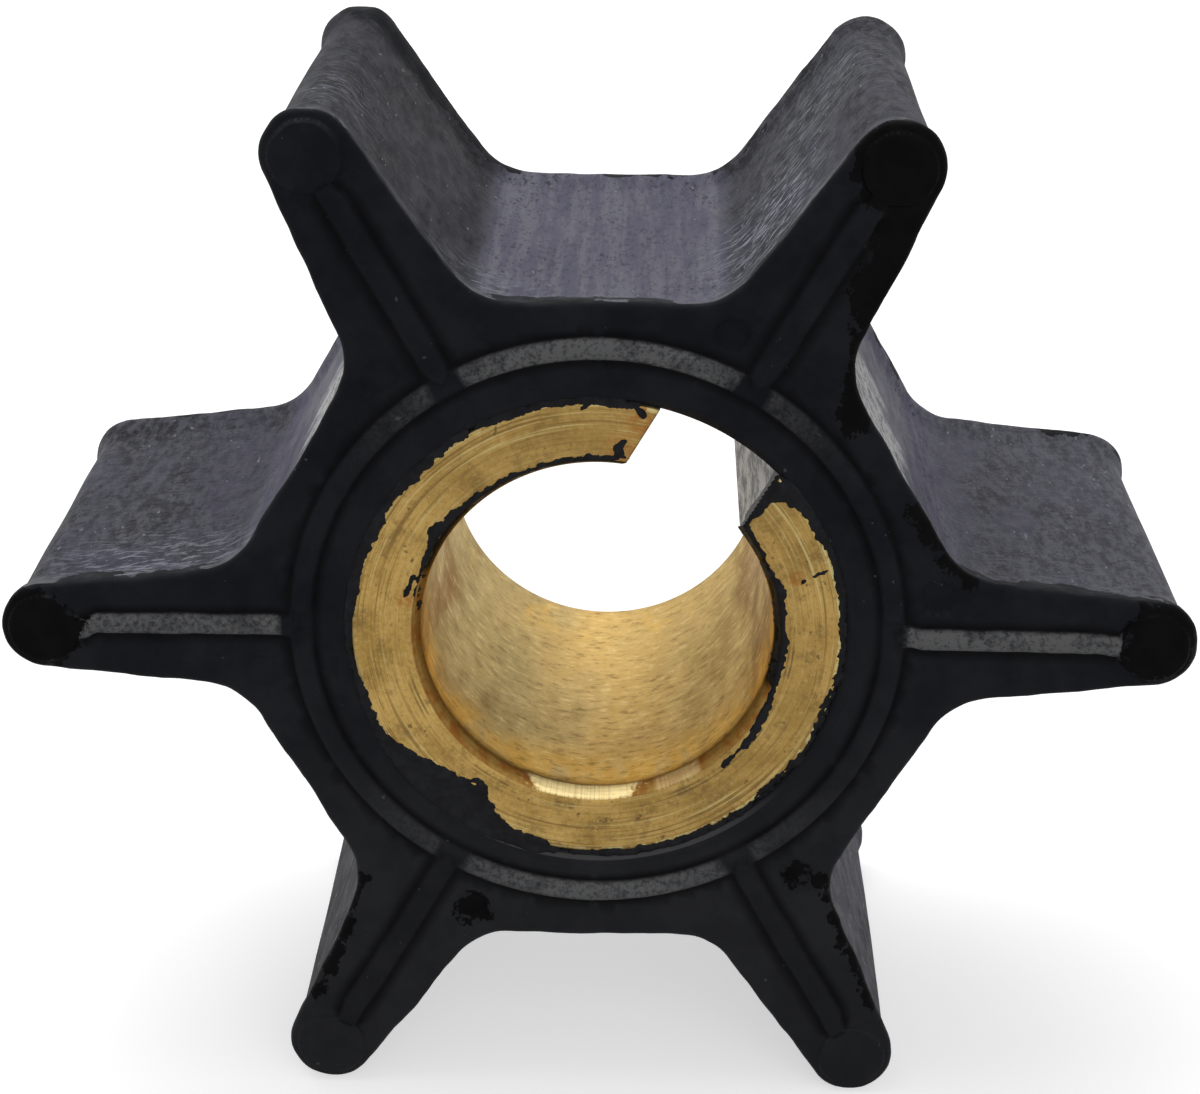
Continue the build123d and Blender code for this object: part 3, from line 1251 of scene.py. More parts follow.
@dataclass(frozen=True)
class Smear:
    """A patch of a vane's end face that is blacker than the rest."""

    vane: int
    start: tuple[float, float]
    end: tuple[float, float]
    half_width: float


@dataclass(frozen=True)
class Patch:
    """A round patch on the moulding's flanks, placed by its turn from +X in degrees."""

    turn: float
    radius: float
    depth: float
    wide: float
    deep: float
    strength: float
    even_part: float = 0.1

    def strength_at(self, places: np.ndarray) -> np.ndarray:
        """Strength of the patch, fading to nothing at its rim.

        Args:
            places: Vertices in millimetres, one row each.

        Returns:
            One number for each vertex.
        """
        middle = ring_points(self.radius, math.radians(self.turn))
        aside = np.linalg.norm(places[:, (0, 2)] - middle, axis=1)
        gap = np.hypot(aside / self.wide, (places[:, 1] - self.depth) / self.deep)
        return self.strength * (1 - smooth(self.even_part, 1.0, gap))


@dataclass(frozen=True)
class VaneSpots:
    """Vertices, with the vane that each belongs to and its place along (x) and across (y) it."""

    places: np.ndarray
    vane: np.ndarray
    turn: np.ndarray
    x: np.ndarray
    y: np.ndarray

    @classmethod
    def sort(cls, places: np.ndarray, vanes: int) -> "VaneSpots":
        """Find the vane that each vertex belongs to.

        Args:
            places: Vertices in millimetres, one row each.
            vanes: Number of vanes, evenly spaced from +X on.

        Returns:
            The sorted vertices, with their vanes' turns in radians.
        """
        sector = 2 * math.pi / vanes
        angle = np.arctan2(places[:, 2], places[:, 0])
        nearest = np.round(angle / sector).astype(int)
        local = ring_points(np.hypot(places[:, 0], places[:, 2]), angle - nearest * sector)
        vane = nearest % vanes
        return cls(places, vane, vane * sector, local[:, 0], local[:, 1])

    @property
    def in_front(self) -> np.ndarray:
        """Which vertices are on the front half."""
        return self.places[:, 1] < 0

    def each(self, values: Range) -> np.ndarray:
        """Value of each vertex's vane, from one value for each vane."""
        return np.array(values)[self.vane]

    def shift(self, along: np.ndarray, across: np.ndarray) -> np.ndarray:
        """Shifts along and across each vertex's vane, turned to where that vane points."""
        cos, sin = np.cos(self.turn), np.sin(self.turn)
        return sideways(along * cos - across * sin, along * sin + across * cos)


@dataclass
class RubberMoulding:
    """The one-piece moulding: hub ring, six vanes, beads, tip pads and ejector marks."""

    outline: Outline = field(default_factory=Outline)
    relief: FaceRelief = field(default_factory=FaceRelief)
    vanes: int = 6
    half_width: float = 12.0
    face_drop: float = 0.3
    edge_break: float = 0.35
    lip_rise: float = 0.35
    lip_run: float = 2.2
    flank_depths: Range = (0, 1.4, 2.8, 4.2, 5.6, 7.0, 8.0)
    lip_rows: int = 8
    edge_rows: int = 6
    seat_depths: Range = (8.0, 4.0, 0.0)
    weld: float = 0.002

    # triangulation of the end face
    side_radii: Range = (
        *(15.2, 14.6, 14.35, 14.25, 13.8, 13.35, 13.2),
        *(13.0, 12.4, 11.95, 11.85, 11.74, 11.62),
    )
    seat_steps: int = 48
    grid: float = 0.5
    row_share: float = 0.87
    grid_box: Range = (11.0, 28.5, -8.5, 8.5)
    clear_of_edge: float = 0.05
    feature_gap: float = 0.042
    grid_gap: float = 0.2
    first_share: float = 0.9

    # unevenness: amounts in millimetres, with wavelength, seeds and octaves of each wave
    sway: tuple = (0.07, 8.0, (3.1, 17.7), 2)
    fray: tuple = (0.05, 1.6, (5.3, 29.1), 3)
    front_wave: tuple = (0.14, 4.6, (41.3, 57.9), 3)

    # where they act: ranges of radius, depth, and place along or across a vane
    sway_radii: Range = (12.5, 15.5)
    edge_depths: Range = (9.8, 10.9)
    edge_radii: Range = (15.0, 15.9)
    wave_radii: Range = (24.5, 22.5)
    wave_across: Range = (1.0, 1.9)
    lean_from: float = 14.5
    lean_run: float = 11.5
    lean_curve: float = 1.3
    stretch_from: float = 17.0
    stretch_run: float = 9.0
    ring_radii: tuple[Range, Range] = ((12.0, 12.9), (15.6, 14.6))
    bead_across: Range = (1.65, 0.8)
    bead_along: tuple[Range, Range] = ((14.2, 14.8), (24.2, 23.5))

    # one value for each vane, counted from +X towards +Z
    lean: Range = (-0.01, -0.02, -0.14, 0.11, -0.04, -0.17)
    stretch: Range = (-0.15, -0.15, 0.0, -0.15, 0.0, 0.0)
    # painted shade on each vane's flanks, and painted light where negative
    vane_shading: Range = (-0.20, 0.38, 0.72, 0.15, 0.66, 0.24)
    # painted light on each vane bead's crown, as it faces the light, partly wear
    bead_tone: Range = (1.6, 0.06, 0.05, 0.95, 0.0, 0.0)
    # painted shade on each vane bead's crown
    bead_dim: Range = (0.0, 0.10, 0.10, 0.0, 0.30, 0.25)
    bead_from: Range = (14.35, 13.8, 13.8, 14.75, 14.0, 14.0)
    bead_lift: Range = (0.12, 0.2, 0.2, 0.32, 0.2, 0.2)
    bead_spread: Range = (0.0, 0.2, 0.2, 0.0, 0.1, 0.1)
    pad_light: Range = (0.0, 0.0, 1.0, 0.0, 0.0, 0.3)
    mark_light: Range = (1.0, 0.2, 0.5, 0.0, 0.0, 0.0)

    ring_lift: float = 0.24
    # painted light on the ring bead at its top and bottom, where its slopes face up
    ring_tones: Range = (1.45, 1.25)
    ring_tone_curve: float = 7.0
    tone_start: Range = (0.0, 0.15)
    # a thin line along the top two vane beads keeps less painted light
    split_vanes: tuple[int, int] = (1, 2)
    split_share: float = 0.85
    split_across: Range = (0.1, 0.0)
    split_y: float = 0.1
    # painted highlight on the rims of tip pads and ejector marks that look up
    rim_tone: float = 0.20
    rim_half: Range = (0.09, 0.03)
    rim_lift: Range = (0.3, 1.0)
    pad_rim_in: float = 0.06
    mark_rim_in: float = 0.04
    near_face: float = 0.02
    far_from_smear: float = -2.0
    dark_back_vane: int = 2
    dark_back_run: float = 2.0
    dark_back_along: Range = (15.5, 19.0)
    smears: tuple[Smear, ...] = (
        Smear(0, (26.3, 0.0), (26.3, 0.6), 1.75),
        Smear(3, (26.2, 0.0), (26.6, 0.0), 1.9),
        Smear(3, (25.0, -0.5), (24.3, -0.5), 0.3),
        Smear(1, (27.0, -1.2), (20.5, -1.9), 1.0),
        Smear(1, (20.5, -2.2), (15.0, -4.6), 0.7),
        Smear(0, (17.0, 3.1), (14.5, 6.5), 0.45),
        Smear(4, (24.0, -2.0), (17.0, -3.0), 0.25),
        Smear(5, (24.0, 2.0), (16.5, 3.2), 0.3),
        # painted shade in the ejector marks of the two lower vanes
        Smear(4, (15.75, 2.15), (15.75, 2.28), 0.8),
        Smear(5, (15.75, 2.15), (15.75, 2.28), 0.6),
        # painted shade over the whole top-right pad, which takes the light off its rim
        Smear(1, (26.0, 0.0), (26.4, 0.2), 2.0),
    )
    rubs: tuple[Patch, ...] = (
        Patch(70, 20.5, -4.5, 5.5, 9.5, 1.0),
        Patch(66, 24.0, 4.0, 6.0, 9.0, 0.45),
        Patch(113, 28.5, -5.0, 6.0, 10.0, 0.35),
        Patch(106, 18.0, -9.0, 4.0, 4.0, 0.4),
        Patch(172, 21.0, -9.5, 9.0, 6.0, 0.5),
        Patch(8, 22.0, -8.0, 8.0, 5.0, 0.10),
    )
    # patches painted pale as the reflection of white surroundings at grazing angles, at two roots and near
    # the front edge
    glare_patches: tuple[Patch, ...] = (
        Patch(142, 16.2, -4.5, 5.5, 11.0, 1.4),
        Patch(37, 15.8, -6.0, 5.5, 11.0, 1.5),
        Patch(67, 22.5, -10.6, 6.0, 2.6, 0.35),
        Patch(166, 17.5, -10.8, 4.0, 2.6, 0.35),
    )

    @property
    def face_y(self) -> float:
        """Distance of the end faces from mid-width."""
        return self.half_width - self.face_drop

    def build(self, finish: MouldedRubberFinish) -> Object:
        """Make the moulding.

        Args:
            finish: Finish that it wears.

        Returns:
            The finished piece.
        """
        moulding = self._repeat(self._half_sector(*finish.build()))
        mesh = moulding.data
        spots = VaneSpots.sort(vertex_places(mesh), self.vanes)
        self._store_wear_and_light(mesh, spots)
        mesh.vertices.foreach_set("co", (self._wander(spots) * MM).ravel())
        mesh.update()
        return moulding

    def _profile(self) -> list[tuple[float, float]]:
        """List the rows of the flank skin, from mid-width to the front face.

        Returns:
            Inset and depth of each row.
        """
        lip = self.face_y - self.edge_break
        neck = lip - self.lip_run
        rows = [(self.lip_rise, depth) for depth in self.flank_depths]
        for share in np.linspace(0, 1, self.lip_rows + 1):
            rows.append((self.lip_rise * (1 - smooth(0, 1, share)), neck + self.lip_run * share))
        for turn in np.linspace(0, math.pi / 2, self.edge_rows + 1)[1:]:
            rows.append((self.edge_break * (1 - math.cos(turn)), lip + self.edge_break * math.sin(turn)))
        return rows

    def _half_sector(self, flank: Material, face: Material) -> Object:
        """Make the front half of one sector: flank skin, end face and seat wall.

        Args:
            flank: Finish of the flanks.
            face: Finish of the end face.

        Returns:
            The open half sector, with its beads and its end face marked.
        """
        rows = self._profile()
        points = []
        for inset, depth in rows:
            points += [(x, -depth, z) for x, z in self.outline.sector_points(inset)]
        count = len(points) // len(rows)
        faces = [
            (row + i, row + i + 1, row + count + i + 1, row + count + i)
            for row in range(0, count * (len(rows) - 1), count)
            for i in range(count - 1)
        ]
        flank_count = len(faces) - self.edge_rows * (count - 1)
        flat, triangles, seat = self._end_face()
        base = len(points)
        heights = self.relief.height(flat[:, 0], flat[:, 1])
        points += [(x, -self.face_y - height, z) for (x, z), height in zip(flat, heights)]
        faces += [tuple(base + i for i in triangle) for triangle in triangles]
        faces += self._seat_wall(points, [base + i for i in seat])
        piece = mesh_object("moulding_sector", np.array(points), faces, flank)
        piece.data.materials.append(face)
        on_end = piece.data.attributes.new("end_face", "BOOLEAN", "FACE")
        on_end.data.foreach_set("value", [i >= flank_count for i in range(len(faces))])
        self._mark_beads(piece.data)
        return piece

    def _end_face(self) -> tuple[np.ndarray, list, list]:
        """Triangulate the end face of one sector.

        Returns:
            Its points, its triangles, and the numbers of the points on the seat's edge.
        """
        outer = self.outline.sector_points(self.edge_break)
        side = ring_points(np.array(self.side_radii), self.outline.sector / 2)
        half_turn = self.relief.half_turn
        turns = np.radians(np.linspace(half_turn, -half_turn, self.seat_steps + 1))
        inner = ring_points(self.relief.seat_r, turns)
        loop = np.concatenate([outer, side, inner, side[::-1] * [1, -1]])
        kept = self._scatter(loop, self.relief.sample_points(), self._grid_points())
        points = [Vector(p) for p in np.concatenate([loop, kept])]
        edges = [(i, (i + 1) % len(loop)) for i in range(len(loop))]
        verts, _, triangles, *_ = delaunay_2d_cdt(points, edges, [], 1, TINY)
        flat = np.array([tuple(v) for v in verts])
        first = len(outer) + len(side)
        return flat, [self._upward(flat, t) for t in triangles], list(range(first, first + len(inner)))

    def _upward(self, flat: np.ndarray, triangle: list) -> tuple:
        """Order a triangle so that it faces the front.

        Args:
            flat: Points of the end face.
            triangle: Numbers of its corners.

        Returns:
            The corners in order.
        """
        a, b, c = flat[list(triangle)]
        turn = (b[0] - a[0]) * (c[1] - a[1]) - (b[1] - a[1]) * (c[0] - a[0])
        return tuple(triangle) if turn > 0 else tuple(triangle[::-1])

    def _grid_points(self) -> np.ndarray:
        """Even hexagonal grid over the sector's box.

        Returns:
            One row of two coordinates for each point.
        """
        left, right, bottom, top = self.grid_box
        xs = np.arange(left, right, self.grid)
        ys = np.arange(bottom, top, self.grid * self.row_share)
        return np.array([(x + self.grid / 2 * (row % 2), y) for row, y in enumerate(ys) for x in xs])

    def _scatter(self, loop: np.ndarray, features: np.ndarray, grid: np.ndarray) -> np.ndarray:
        """Keep the points that lie inside the loop, clear of it and clear of earlier ones.

        Args:
            loop: Closed edge of the end face.
            features: Points along the edges of the beads, the pad and the mark.
            grid: Points that fill what they leave.

        Returns:
            The kept points, one row each.
        """
        wanted = np.concatenate([features, grid])
        tree = kdtree.KDTree(len(loop))
        for number, point in enumerate(loop):
            tree.insert((*point, 0), number)
        tree.balance()
        inside = zip(wanted, self._inside(loop, wanted))
        clear = [p for p, ok in inside if ok and tree.find((*p, 0))[2] > self.clear_of_edge]
        cells: dict[tuple[int, int], list] = {}
        kept = []
        for number, point in enumerate(clear):
            gap = self.feature_gap if number < len(features) * self.first_share else self.grid_gap
            column, row = (int(side / self.grid_gap) for side in point)
            around = [(column + i, row + j) for i in (-1, 0, 1) for j in (-1, 0, 1)]
            near = [other for cell in around for other in cells.get(cell, [])]
            if all(math.dist(point, other) > gap for other in near):
                kept.append(point)
                cells.setdefault((column, row), []).append(point)
        return np.array(kept)

    def _inside(self, loop: np.ndarray, points: np.ndarray) -> np.ndarray:
        """Test which points lie inside the closed loop.

        Args:
            loop: Corners of the loop.
            points: Places to test.

        Returns:
            True for each point inside.
        """
        inside = np.zeros(len(points), dtype=bool)
        px, py = points[:, 0], points[:, 1]
        for (x0, y0), (x1, y1) in zip(loop, np.roll(loop, -1, 0)):
            if y0 != y1:
                crosses = (y0 > py) != (y1 > py)
                inside ^= crosses & (px < (x1 - x0) * (py - y0) / (y1 - y0) + x0)
        return inside

    def _seat_wall(self, points: list, seat: list) -> list:
        """Make the wall of the seat, from the end face down to mid-width.

        Args:
            points: Points of the sector; the wall's are added to them.
            seat: Numbers of the points on the seat's edge.

        Returns:
            The wall's faces.
        """
        faces = []
        upper = seat
        for depth in self.seat_depths:
            lower = list(range(len(points), len(points) + len(seat)))
            points += [(points[i][0], -depth, points[i][2]) for i in seat]
            faces += [(upper[i], lower[i], lower[i + 1], upper[i + 1]) for i in range(len(seat) - 1)]
            upper = lower
        return faces

    def _mark_beads(self, mesh: Mesh) -> None:
        """Store where the vane bead, the ring bead and their creases lie.

        Args:
            mesh: Mesh of the half sector.
        """
        places = vertex_places(mesh)
        on_face = places[:, 1] < self.near_face - self.face_y
        masks = self.relief.bead_masks(places[:, 0], places[:, 2])
        for name, mask in zip(("vane_bead", "ring_bead", "crease"), masks):
            set_attribute(mesh, name, mask * on_face)

    def _repeat(self, sector: Object) -> Object:
        """Turn the half sector into the whole moulding with Geometry Nodes.

        Args:
            sector: The half sector, which is removed.

        Returns:
            The moulding as a plain mesh object.
        """
        modifier = sector.modifiers.new("ring", "NODES")
        modifier.node_group = vane_ring_tree()
        flank, face = sector.data.materials
        set_inputs(modifier, {"Vanes": self.vanes, "Weld": self.weld * MM, "Flank": flank, "Face": face})
        moulding = link_object("rubber_moulding", plain_mesh(sector, "rubber_moulding"))
        bpy.data.objects.remove(sector)
        return moulding

    def _store_wear_and_light(self, mesh: Mesh, at: VaneSpots) -> None:
        """Store the masks that the finish reads.

        Args:
            mesh: Mesh of the moulding.
            at: Its vertices.
        """
        dark_back = (at.vane == self.dark_back_vane) & (at.y < 0) & ~at.in_front
        masks = {
            "bead": self._bead_light_and_shade(mesh, at),
            "smear": self._smeared(at),
            "rub": np.max([patch.strength_at(at.places) for patch in self.rubs], axis=0),
            "glare_patch": np.max([patch.strength_at(at.places) for patch in self.glare_patches], axis=0),
            "vane_shading": at.each(self.vane_shading),
            "run": np.sign(at.y) * self._arc(at.x, np.abs(at.y)),
            "along": at.x,
            "vane": at.vane,
            "creep": self.dark_back_run * smooth(*self.dark_back_along, at.x) * dark_back,
        }
        for name, mask in masks.items():
            set_attribute(mesh, name, mask)

    def _bead_light_and_shade(self, mesh: Mesh, at: VaneSpots) -> np.ndarray:
        """Find how much light is painted on the beads' crowns and on the rims that look up, and where shade
        is painted on the beads.

        Args:
            mesh: Mesh with its beads marked.
            at: Its vertices.

        Returns:
            Positive where light is painted, partly as wear, negative where shade is painted.
        """
        on_vane = get_attribute(mesh, "vane_bead")
        tone = smooth(*self.tone_start, at.x - at.each(self.bead_from)) * at.each(self.bead_tone)
        split = smooth(*self.split_across, np.abs(at.y - self.split_y)) * np.isin(at.vane, self.split_vanes)
        rise = at.places[:, 2] / np.maximum(np.hypot(at.x, at.y), TINY)
        level = np.abs(rise) ** self.ring_tone_curve * np.where(rise > 0, *self.ring_tones)
        crown = on_vane * tone * (1 - self.split_share * split)
        wear = np.maximum(crown, get_attribute(mesh, "ring_bead") * level)
        wear = np.maximum(wear, self.rim_tone * self._rim_light(at))
        return wear - at.each(self.bead_dim) * on_vane

    def _smeared(self, at: VaneSpots) -> np.ndarray:
        """Find how far inside the nearest smear each vertex lies.

        Args:
            at: Vertices of the moulding.

        Returns:
            Distances in millimetres, negative outside.
        """
        inside = np.full(len(at.vane), self.far_from_smear)
        for smear in self.smears:
            mine = (at.vane == smear.vane) & at.in_front
            local = np.stack([at.x[mine], at.y[mine]], 1)
            ends = np.array([smear.start, smear.end])
            here = inside_stroke(local, ends, (smear.half_width, smear.half_width))
            inside[mine] = np.maximum(inside[mine], here)
        return inside

    def _arc(self, x: np.ndarray, y: np.ndarray) -> np.ndarray:
        """Measure round the outline, from a vane's tip to each point beside it.

        Args:
            x: Distances along the vane.
            y: Distances from its middle.

        Returns:
            Lengths in millimetres.
        """
        edge = self.outline.half(self.lip_rise)
        steps = np.linalg.norm(np.diff(edge, axis=0), axis=1)
        nearest = np.argmin(np.hypot(x[:, None] - edge[:, 0], y[:, None] - edge[:, 1]), axis=1)
        return np.concatenate([[0], np.cumsum(steps)])[nearest]

    def _rim_light(self, at: VaneSpots) -> np.ndarray:
        """Find where the rims of the tip pads and of the ejector marks look up, where highlights are painted.

        Args:
            at: Vertices of the moulding.

        Returns:
            Shares from 0 to 1.
        """
        relief = self.relief
        light = np.zeros(len(at.vane))
        rims = (
            (relief.pad_centre, 0.0, relief.pad_r - self.pad_rim_in, 1, self.pad_light),
            (*relief.mark_place(), relief.mark_r - self.mark_rim_in, -1, self.mark_light),
        )
        for centre_x, centre_y, radius, way, shares in rims:
            aside, up = at.x - centre_x, at.y - centre_y
            gap = np.hypot(aside, up)
            lift = way * (aside * np.sin(at.turn) + up * np.cos(at.turn)) / np.maximum(gap, TINY)
            on_rim = smooth(*self.rim_half, np.abs(gap - radius))
            light += on_rim * smooth(*self.rim_lift, lift) * at.each(shares)
        return light * (np.abs(at.places[:, 1]) > self.face_y - relief.mark_depth - self.near_face)

    def _wander(self, at: VaneSpots) -> np.ndarray:
        """Shift the surface a little, as soft rubber and a worn mould leave it.

        Args:
            at: Vertices of the moulding.

        Returns:
            The moved vertices, kept inside the box of the solids.
        """
        radius = np.hypot(at.x, at.y)
        outward = np.clip((at.x - self.lean_from) / self.lean_run, 0, None)
        lean = at.each(self.lean) * outward**self.lean_curve
        stretch = at.each(self.stretch) * np.clip((at.x - self.stretch_from) / self.stretch_run, 0, 1)
        moved = at.places + self._bead_shift(at) + at.shift(stretch, lean)
        edge = smooth(*self.edge_depths, np.abs(at.places[:, 1])) * smooth(*self.edge_radii, radius)
        clear_of_bead = smooth(*self.wave_radii, radius) * smooth(*self.wave_across, np.abs(at.y))
        shares = (smooth(*self.sway_radii, radius), edge, edge * at.in_front * clear_of_bead)
        waves = zip((self.sway, self.fray, self.front_wave), shares)
        for (amount, wavelength, seeds, octaves), share in waves:
            swing = [amount * share * field_noise(at.places, wavelength, seed, octaves) for seed in seeds]
            moved += sideways(*swing)
        low, high = np.array(CAD_BOX) / MM
        return np.clip(moved, low, high)

    def _bead_shift(self, at: VaneSpots) -> np.ndarray:
        """Find how far the front face's beads sit above their nominal places, and spread.

        Args:
            at: Vertices of the moulding.

        Returns:
            Shift of each vertex, one row each.
        """
        radius = np.hypot(at.x, at.y)
        on_front = at.places[:, 1] < self.edge_break - self.face_y
        on_ring = np.prod([smooth(*reach, radius) for reach in self.ring_radii], axis=0)
        on_vane = np.prod([smooth(*reach, at.x) for reach in self.bead_along], axis=0)
        on_vane *= smooth(*self.bead_across, np.abs(at.y))
        lift = np.maximum(on_ring * self.ring_lift, on_vane * at.each(self.bead_lift)) * on_front
        spread = at.y * at.each(self.bead_spread) * on_vane * on_front
        return at.shift(0 * spread, spread) + sideways(0 * lift, lift)


def vane_ring_tree() -> NodeTree:
    """Geometry Nodes that repeat a half sector round the axis and turn it over for the back.

    Returns:
        A tree with inputs for the vane count, the weld distance and both materials.
    """
    tree = bpy.data.node_groups.new("vane_ring", "GeometryNodeTree")
    sockets = {"Sector": "Geometry", "Vanes": "Int", "Weld": "Float", "Flank": "Material", "Face": "Material"}
    for name, kind in sockets.items():
        tree.interface.new_socket(name, in_out="INPUT", socket_type="NodeSocket" + kind)
    tree.interface.new_socket("Geometry", in_out="OUTPUT", socket_type="NodeSocketGeometry")
    graph = Graph(tree)
    given = graph.add("NodeGroupInput").outputs
    index = graph.add("GeometryNodeInputIndex").outputs[0]
    both_faces = graph.times(given["Vanes"], 2.0)
    turn = graph.math("DIVIDE", graph.times(index, 2 * math.pi), given["Vanes"])
    is_back = graph.math("GREATER_THAN", index, graph.minus(given["Vanes"], 0.5))
    sector = graph.add("GeometryNodeGeometryToInstance", {0: given["Sector"]}).outputs[0]
    placed = {
        "Points": graph.add("GeometryNodePoints", {"Count": both_faces}).outputs[0],
        "Instance": sector,
        "Rotation": graph.vector(graph.times(is_back, math.pi), turn, 0.0),
    }
    ring = graph.add("GeometryNodeInstanceOnPoints", placed).outputs[0]
    real = graph.add("GeometryNodeRealizeInstances", {0: ring}).outputs[0]
    doubled = {"Geometry": real, "Distance": given["Weld"]}
    welded = graph.add("GeometryNodeMergeByDistance", doubled).outputs[0]
    stored = graph.add("GeometryNodeInputNamedAttribute", {"Name": "end_face"}, data_type="BOOLEAN")
    on_end = stored.outputs[0]
    flanks = {"Geometry": welded, "Material": given["Flank"]}
    dressed = graph.add("GeometryNodeSetMaterial", flanks).outputs[0]
    ends = {"Geometry": dressed, "Selection": on_end, "Material": given["Face"]}
    graph.add("NodeGroupOutput", {0: graph.add("GeometryNodeSetMaterial", ends).outputs[0]})
    return tree


def set_inputs(modifier: Modifier, values: dict) -> None:
    """Set a Geometry Nodes modifier's inputs by their sockets' identifiers.

    Args:
        modifier: Modifier to set.
        values: Input names and their values.
    """
    for item in modifier.node_group.interface.items_tree:
        if item.in_out == "INPUT" and item.name in values:
            modifier[item.identifier] = values[item.name]


def plain_mesh(piece: Object, name: str) -> Mesh:
    """Evaluate a piece's modifiers into a plain mesh and remove them.

    Args:
        piece: Object with live modifiers.
        name: Name for the new mesh.

    Returns:
        The evaluated mesh.
    """
    bpy.context.view_layer.update()
    seen = piece.evaluated_get(bpy.context.evaluated_depsgraph_get())
    mesh = bpy.data.meshes.new_from_object(seen)
    mesh.name = name
    piece.modifiers.clear()
    return mesh


# --- the bush ---------------------------------------------------------


class BushSkin(IntEnum):
    """Material slots of the bush."""

    TURNED = 0
    BROACHED = 1


@dataclass
class BrassBush:
    """Turned C-section bush with a broached key slot."""

    bore_r: float = 8.25
    mouth_r: float = 8.7
    mouth_run: float = 0.85
    outer_r: float = 11.49
    front_y: float = -11.55
    back_y: float = 10.75
    key_w: float = 6.35
    key_turn: float = math.radians(60)
    edge: float = 0.08
    edge_share: float = 0.9
    mouth_ease: float = 0.03
    mouth_corner: Range = (0.05, -0.04)
    turns: int = 300
    end_rings: int = 14
    bore_rings: int = 18
    bore_margin: float = 0.6
    weld: float = 0.001

    def profile(self) -> list[tuple[float, float]]:
        """List the points round the section, from the front mouth over the face and back.

        Returns:
            Radius and depth of each point.
        """
        mouth, edge = self.mouth_run, self.edge
        deeper, nearer = (mouth + offset for offset in self.mouth_corner)
        radii = np.linspace(self.mouth_r + edge, self.outer_r - edge, self.end_rings)
        ends = []
        for face, inward in ((self.front_y, 1), (self.back_y, -1)):
            ends.append([
                (self.bore_r, face + inward * deeper),
                (self.bore_r + self.mouth_ease, face + inward * nearer),
                (self.mouth_r - edge, face + inward * edge * self.edge_share),
                *((radius, face) for radius in radii),
                (self.outer_r, face + inward * edge),
            ])
        reach = mouth + self.bore_margin
        bore = np.linspace(self.back_y - reach, self.front_y + reach, self.bore_rings)
        return ends[0] + ends[1][::-1] + [(self.bore_r, depth) for depth in bore]

    def build(self, finish: TurnedBrassFinish, wall: SlotWallFinish) -> Object:
        """Make the bush.

        Args:
            finish: Finish of the turned surfaces.
            wall: Finish of the slot's walls.

        Returns:
            The finished piece.
        """
        profile = self.profile()
        count = len(profile)
        points = []
        for step in range(self.turns + 1):
            for radius, depth in profile:
                half = math.asin(self.key_w / 2 / radius)
                turn = self.key_turn + half + (2 * math.pi - 2 * half) * step / self.turns
                x, z = ring_points(radius, turn)
                points.append((x, depth, z))
        faces = []
        for start in range(0, self.turns * count, count):
            for i in range(count):
                after = (i + 1) % count
                faces.append((start + i, start + after, start + count + after, start + count + i))
        caps = [tuple(range(count)), tuple(self.turns * count + i for i in reversed(range(count)))]
        piece = mesh_object("turned_bush", np.array(points), faces + caps, finish.build())
        piece.data.materials.append(wall.build())
        for cap in piece.data.polygons[len(faces):]:
            cap.material_index = BushSkin.BROACHED
            cap.use_smooth = False
        close_up(piece.data, self.weld)
        return piece


